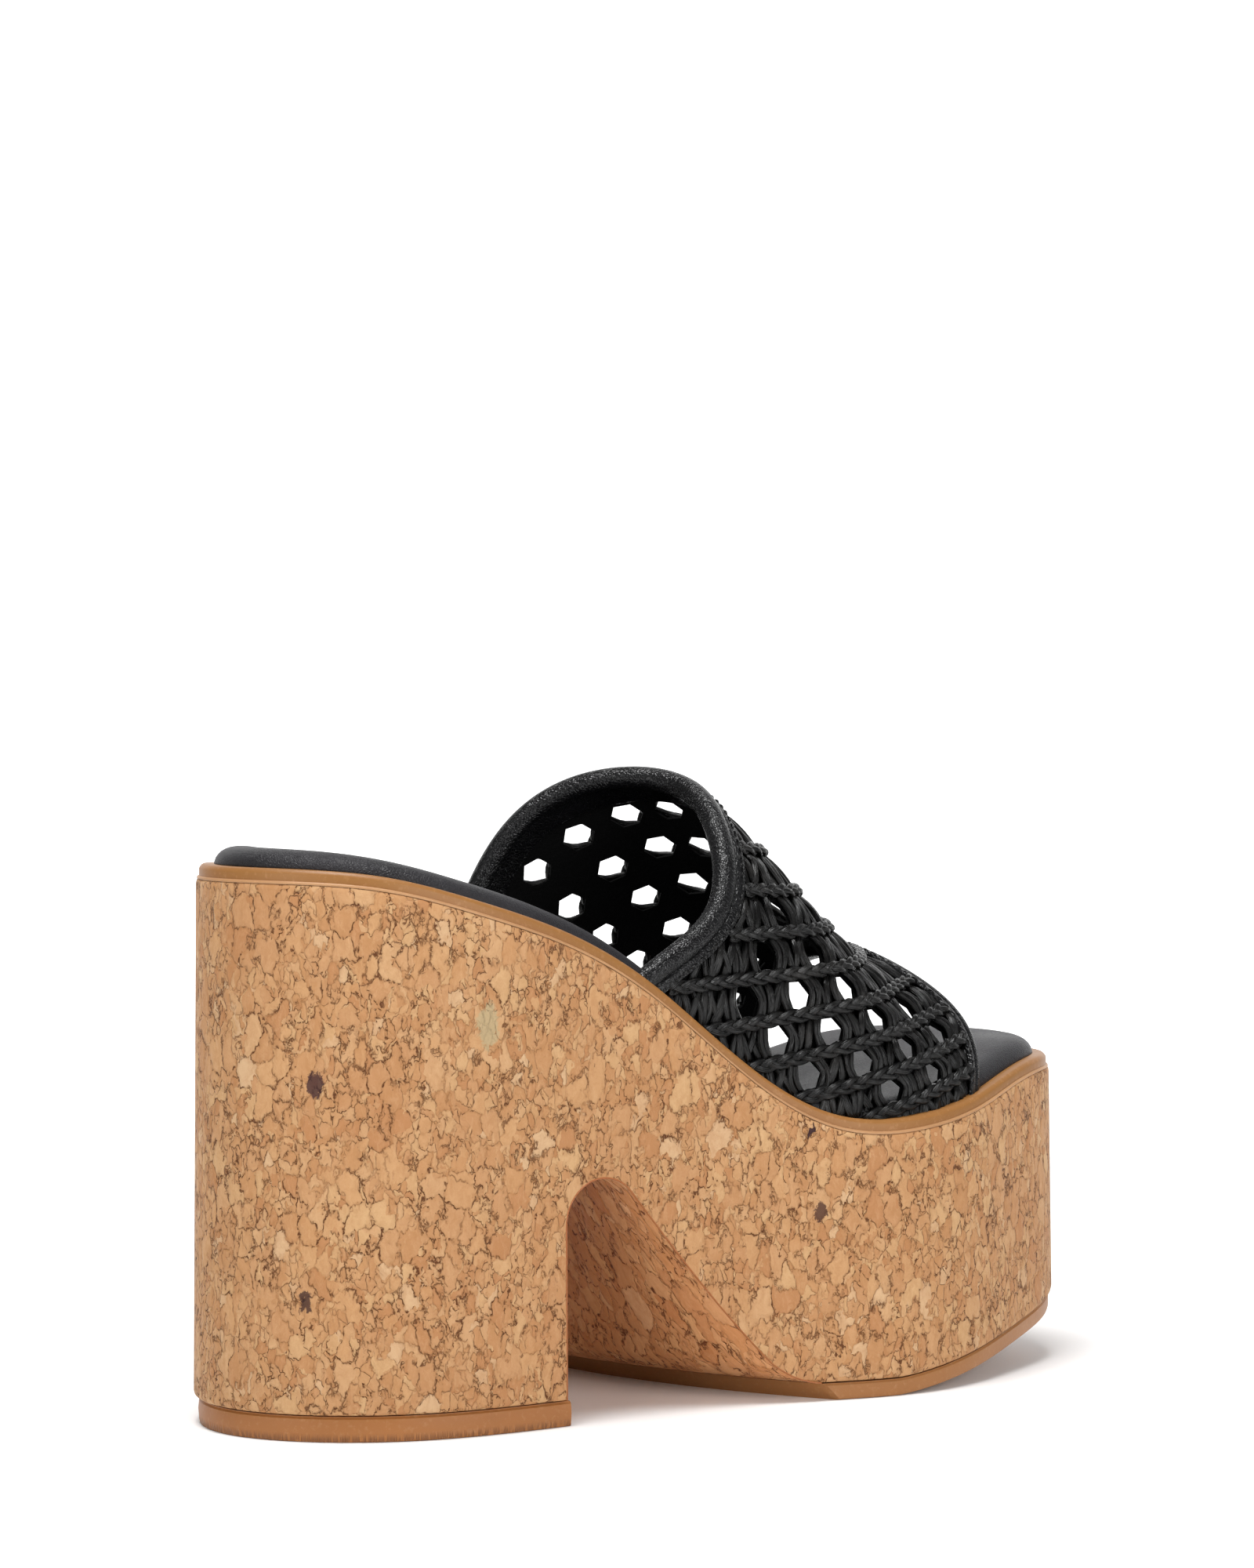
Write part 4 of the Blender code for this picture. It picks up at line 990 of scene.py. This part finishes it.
binding = {"slot": 0.0006, "flange": 0.0007, "valley": 0.0019, "collarRoll": 0.0030, "collarSize": 0.0028,
           "collarFacing": 0.0060, "toeRoll": 0.0018, "toeSize": 0.0021}


# The binding's section as (outward from the edge, off the wall): a thin flange, a valley, the round roll
# (middle + size * cos a, size * sin a), then the plain facing inside.
def rollSection(roll, size, outerFlange, facing):
    slotHalf = shoe["wall"] / 2 + binding["slot"]
    skin = slotHalf + binding["flange"]
    middle = roll - size
    first = math.pi - math.asin(binding["valley"] / size)
    last = -math.pi + math.asin(min(0.98 * skin, 0.96 * size) / size)
    angle = np.linspace(first, last, 26)
    bulge = np.column_stack([middle + size * np.cos(angle), size * np.sin(angle)])
    flangeEnd = bulge[0, 0] - 0.0004
    flat = [(-outerFlange + 0.0003 * part, slotHalf + (skin - slotHalf) * math.sin(part * math.pi / 2))
            for part in (0.0, 0.5, 1.0)]
    flat += [(flangeEnd - 0.0004, skin), (flangeEnd, skin - 0.0001)]
    inside = [(-facing + 0.0003, -skin), (-facing, -skin + 0.0002), (-facing, -slotHalf), (0, -slotHalf),
              (0, slotHalf)]
    return np.concatenate([flat, bulge, inside])


# Frames along an edge of the vamp: the surface point, the way outward past the edge, and the surface normal.
def edgeFrames(which, outward, turns):
    x = vampEdge(turns, which)
    slope = (vampEdge(turns + 1e-4, which) - vampEdge(turns - 1e-4, which)) / 2e-4
    along, across, normal = vampFrame(x, turns)
    out = unit(np.cross(across + along * slope[:, None], normal))
    out *= np.sign(np.sum(out * along, axis=1))[:, None] * outward
    return vampPoint(x, turns), out, normal


def bindEdge(name, which, outward, section, material, node):
    turns = np.linspace(-0.09, math.pi + 0.09, 181)
    middle, out, normal = edgeFrames(which, outward, turns)
    grid = np.stack([middle + out * t + normal * n for t, n in section], axis=1)
    stations, size = grid.shape[:2]
    k, j = np.meshgrid(np.arange(stations - 1), np.arange(size), indexing="ij")
    m = (j + 1) % size
    faces = np.stack([k * size + j, (k + 1) * size + j, (k + 1) * size + m, k * size + m], -1)
    faces = faces.reshape(-1, 4).tolist()
    faces += [tuple(range(size)), tuple(range((stations - 1) * size, stations * size))]
    return makePiece(name, grid.reshape(-1, 3), faces, material, "black_leather", [node], crease=50)


collarSection = rollSection(
    binding["collarRoll"], binding["collarSize"], net["collarFlange"], binding["collarFacing"])
toeSection = rollSection(binding["toeRoll"], binding["toeSize"], net["toeFlange"], net["toeFlange"])
bindEdge("collar_roll", "collar", -1, collarSection, blackLeather, "collar_binding")
bindEdge("toe_bead", "toe", 1, toeSection, blackLeather, "toe_binding")


# Stitches along a flange: short humps of thread, h = lift * (1 - s ** 2), every pitch along the edge.
def stitchEdge(name, which, outward, inset, rise, pitch, size):
    turns = np.linspace(0.10, math.pi - 0.10, 1600)
    middle, out, normal = edgeFrames(which, outward, turns)
    path = middle - out * inset + normal * rise
    run = np.concatenate([[0], np.cumsum(np.linalg.norm(np.diff(path, axis=0), axis=1))])
    starts = np.arange(pitch, run[-1] - pitch, pitch)
    share = np.linspace(-1, 1, 6)
    at = starts[:, None] + share * pitch * 0.36
    points = np.stack([np.interp(at, run, path[:, k]) for k in range(3)], -1)
    normals = np.stack([np.interp(at, run, normal[:, k]) for k in range(3)], -1)
    points = points + normals * (size * (0.9 - 1.6 * share**2))[None, :, None]
    bundle = Bundle()
    bundle.add(points, normals, size, size * 0.8, 6)
    return bundle.piece(name, thread, "black_leather")


skin = shoe["wall"] / 2 + binding["slot"] + binding["flange"]
stitchEdge("collar_stitches", "collar", -1, 0.0036, skin, 0.0027, 0.00028)
stitchEdge("toe_stitches", "toe", 1, 0.0026, skin, 0.0027, 0.00022)
print("bindings made")


# The seam where the side's cork meets the arch's: a thin cord along the roof where it comes out of the wall. The
# way across of that place and the roof's own place there are found in turn, a few times.
def archSeam(name, side):
    t = np.linspace(0, 0.97, 90)
    y = np.full(90, side * 0.04)
    for _ in range(6):
        x, z = archRoof(archEnd(y), t)
        low, high = corkFoot(x) + rounding, corkTop(x) - rounding
        y = outlineEdge(turnAt(x), side, flare * (1 - np.clip((z - low) / (high - low), 0, 1)))[1]
    down = np.linspace(shoe["liftThickness"] + 0.0005, z[0], 21)[:-1]
    foot = outlineEdge(turnAt(np.full(20, x[0])), side, flare * (1 - (down - down[0]) / 0.11))[1]
    across = np.concatenate([foot, y]) - side * 0.00005
    points = np.column_stack([np.concatenate([np.full(20, x[0]), x]), across, np.concatenate([down, z])])[None]
    normals = np.zeros_like(points)
    normals[..., 1] = side
    bundle = Bundle()
    bundle.add(points, normals, 0.00022, 0.00018, 6)
    return bundle.piece(name, seamBrown, "cork")


archSeam("arch_seam_lateral", lateral)
archSeam("arch_seam_medial", medial)
print("seams made")

# Studio: a white sweep, a lamp high above and a little to the left, two broad fills low at the front left and
# right, and an even pale sky.
view = np.array([0.5633, 0.8263, 0.0])
right = np.array([0.8263, -0.5633, 0.0])


# The sweep: flat floor, then a quarter circle of 1 m up to a wall, carried 12 m across the view.
def studioSweep():
    angle = np.linspace(0, math.pi / 2, 24)
    away = np.concatenate([[-4.0], np.linspace(0, 5, 6)[1:], 5 + np.sin(angle)[1:], [6.0]])
    up = np.concatenate([[0.0], np.zeros(5), 1 - np.cos(angle)[1:], [6.0]])
    points = [view * d + right * s + np.array([0, 0, h]) for s in (-6.0, 6.0) for d, h in zip(away, up)]
    count = len(away)
    k = np.arange(count - 1)
    faces = np.stack([k, k + 1, k + 1 + count, k + count], axis=1).tolist()
    mesh = bpy.data.meshes.new("studio_floor")
    mesh.from_pydata([tuple(p) for p in points], [], faces)
    mesh.shade_smooth()
    floor = bpy.data.objects.new("studio_floor", mesh)
    scene.collection.objects.link(floor)
    look = Look("pale_floor", Roughness=0.6, Specular_IOR_Level=0.1, Emission_Strength=1.0)
    spot = look.place()
    glow = look.spread(look.length(spot), 0.25, 1.2, (studio["floorNear"], studio["floorFar"]))
    mist = look.noise(spot, 2.0, 2)
    mesh.materials.append(look.set(Base_Color=look.mix(mist, (0.90, 0.90, 0.90, 1), (0.94, 0.94, 0.94, 1)),
                                   Emission_Color=look.mix(glow, (0, 0, 0, 1), (1, 1, 1, 1))))


studioSweep()


def areaLamp(name, place, aim, size, power):
    data = bpy.data.lights.new(name, "AREA")
    data.shape, data.size, data.energy = "DISK", size, power
    lamp = bpy.data.objects.new(name, data)
    scene.collection.objects.link(lamp)
    lamp.location = place
    lamp.rotation_euler = (Vector(aim) - Vector(place)).to_track_quat("-Z", "Y").to_euler()


middle, above = np.array([0.08, 0.0, 0.06]), np.array([0.0, 0.0, 1.0])
for name, near, aside, height, size, power in (
        ("top_lamp", 0.25, -0.15, 1.5, 0.8, studio["top"]),
        ("left_lamp", 1.3, -1.0, 0.5, 1.2, studio["leftFill"]),
        ("right_lamp", 1.2, 1.1, 0.5, 1.2, studio["rightFill"])):
    areaLamp(name, middle - view * near + right * aside + above * height, middle, size, power)
world = bpy.data.worlds.new("pale_sky")
scene.world = world
world.use_nodes = True
world.node_tree.nodes["Background"].inputs[0].default_value = (1, 1, 1, 1)
world.node_tree.nodes["Background"].inputs[1].default_value = studio["sky"]
scene.view_settings.view_transform = "Standard"

camera = bpy.data.cameras.new("photo_view")
camera.lens, camera.sensor_width, camera.sensor_fit = 97.136, 36.0, "AUTO"
camera.clip_start, camera.clip_end = 0.05, 60.0
eye = bpy.data.objects.new("photo_view", camera)
scene.collection.objects.link(eye)
eye.location = (-0.4847, -0.8246, 0.1709)
eye.rotation_euler = (math.pi / 2 - 0.02879, 0.0, -0.59829)
scene.camera = eye
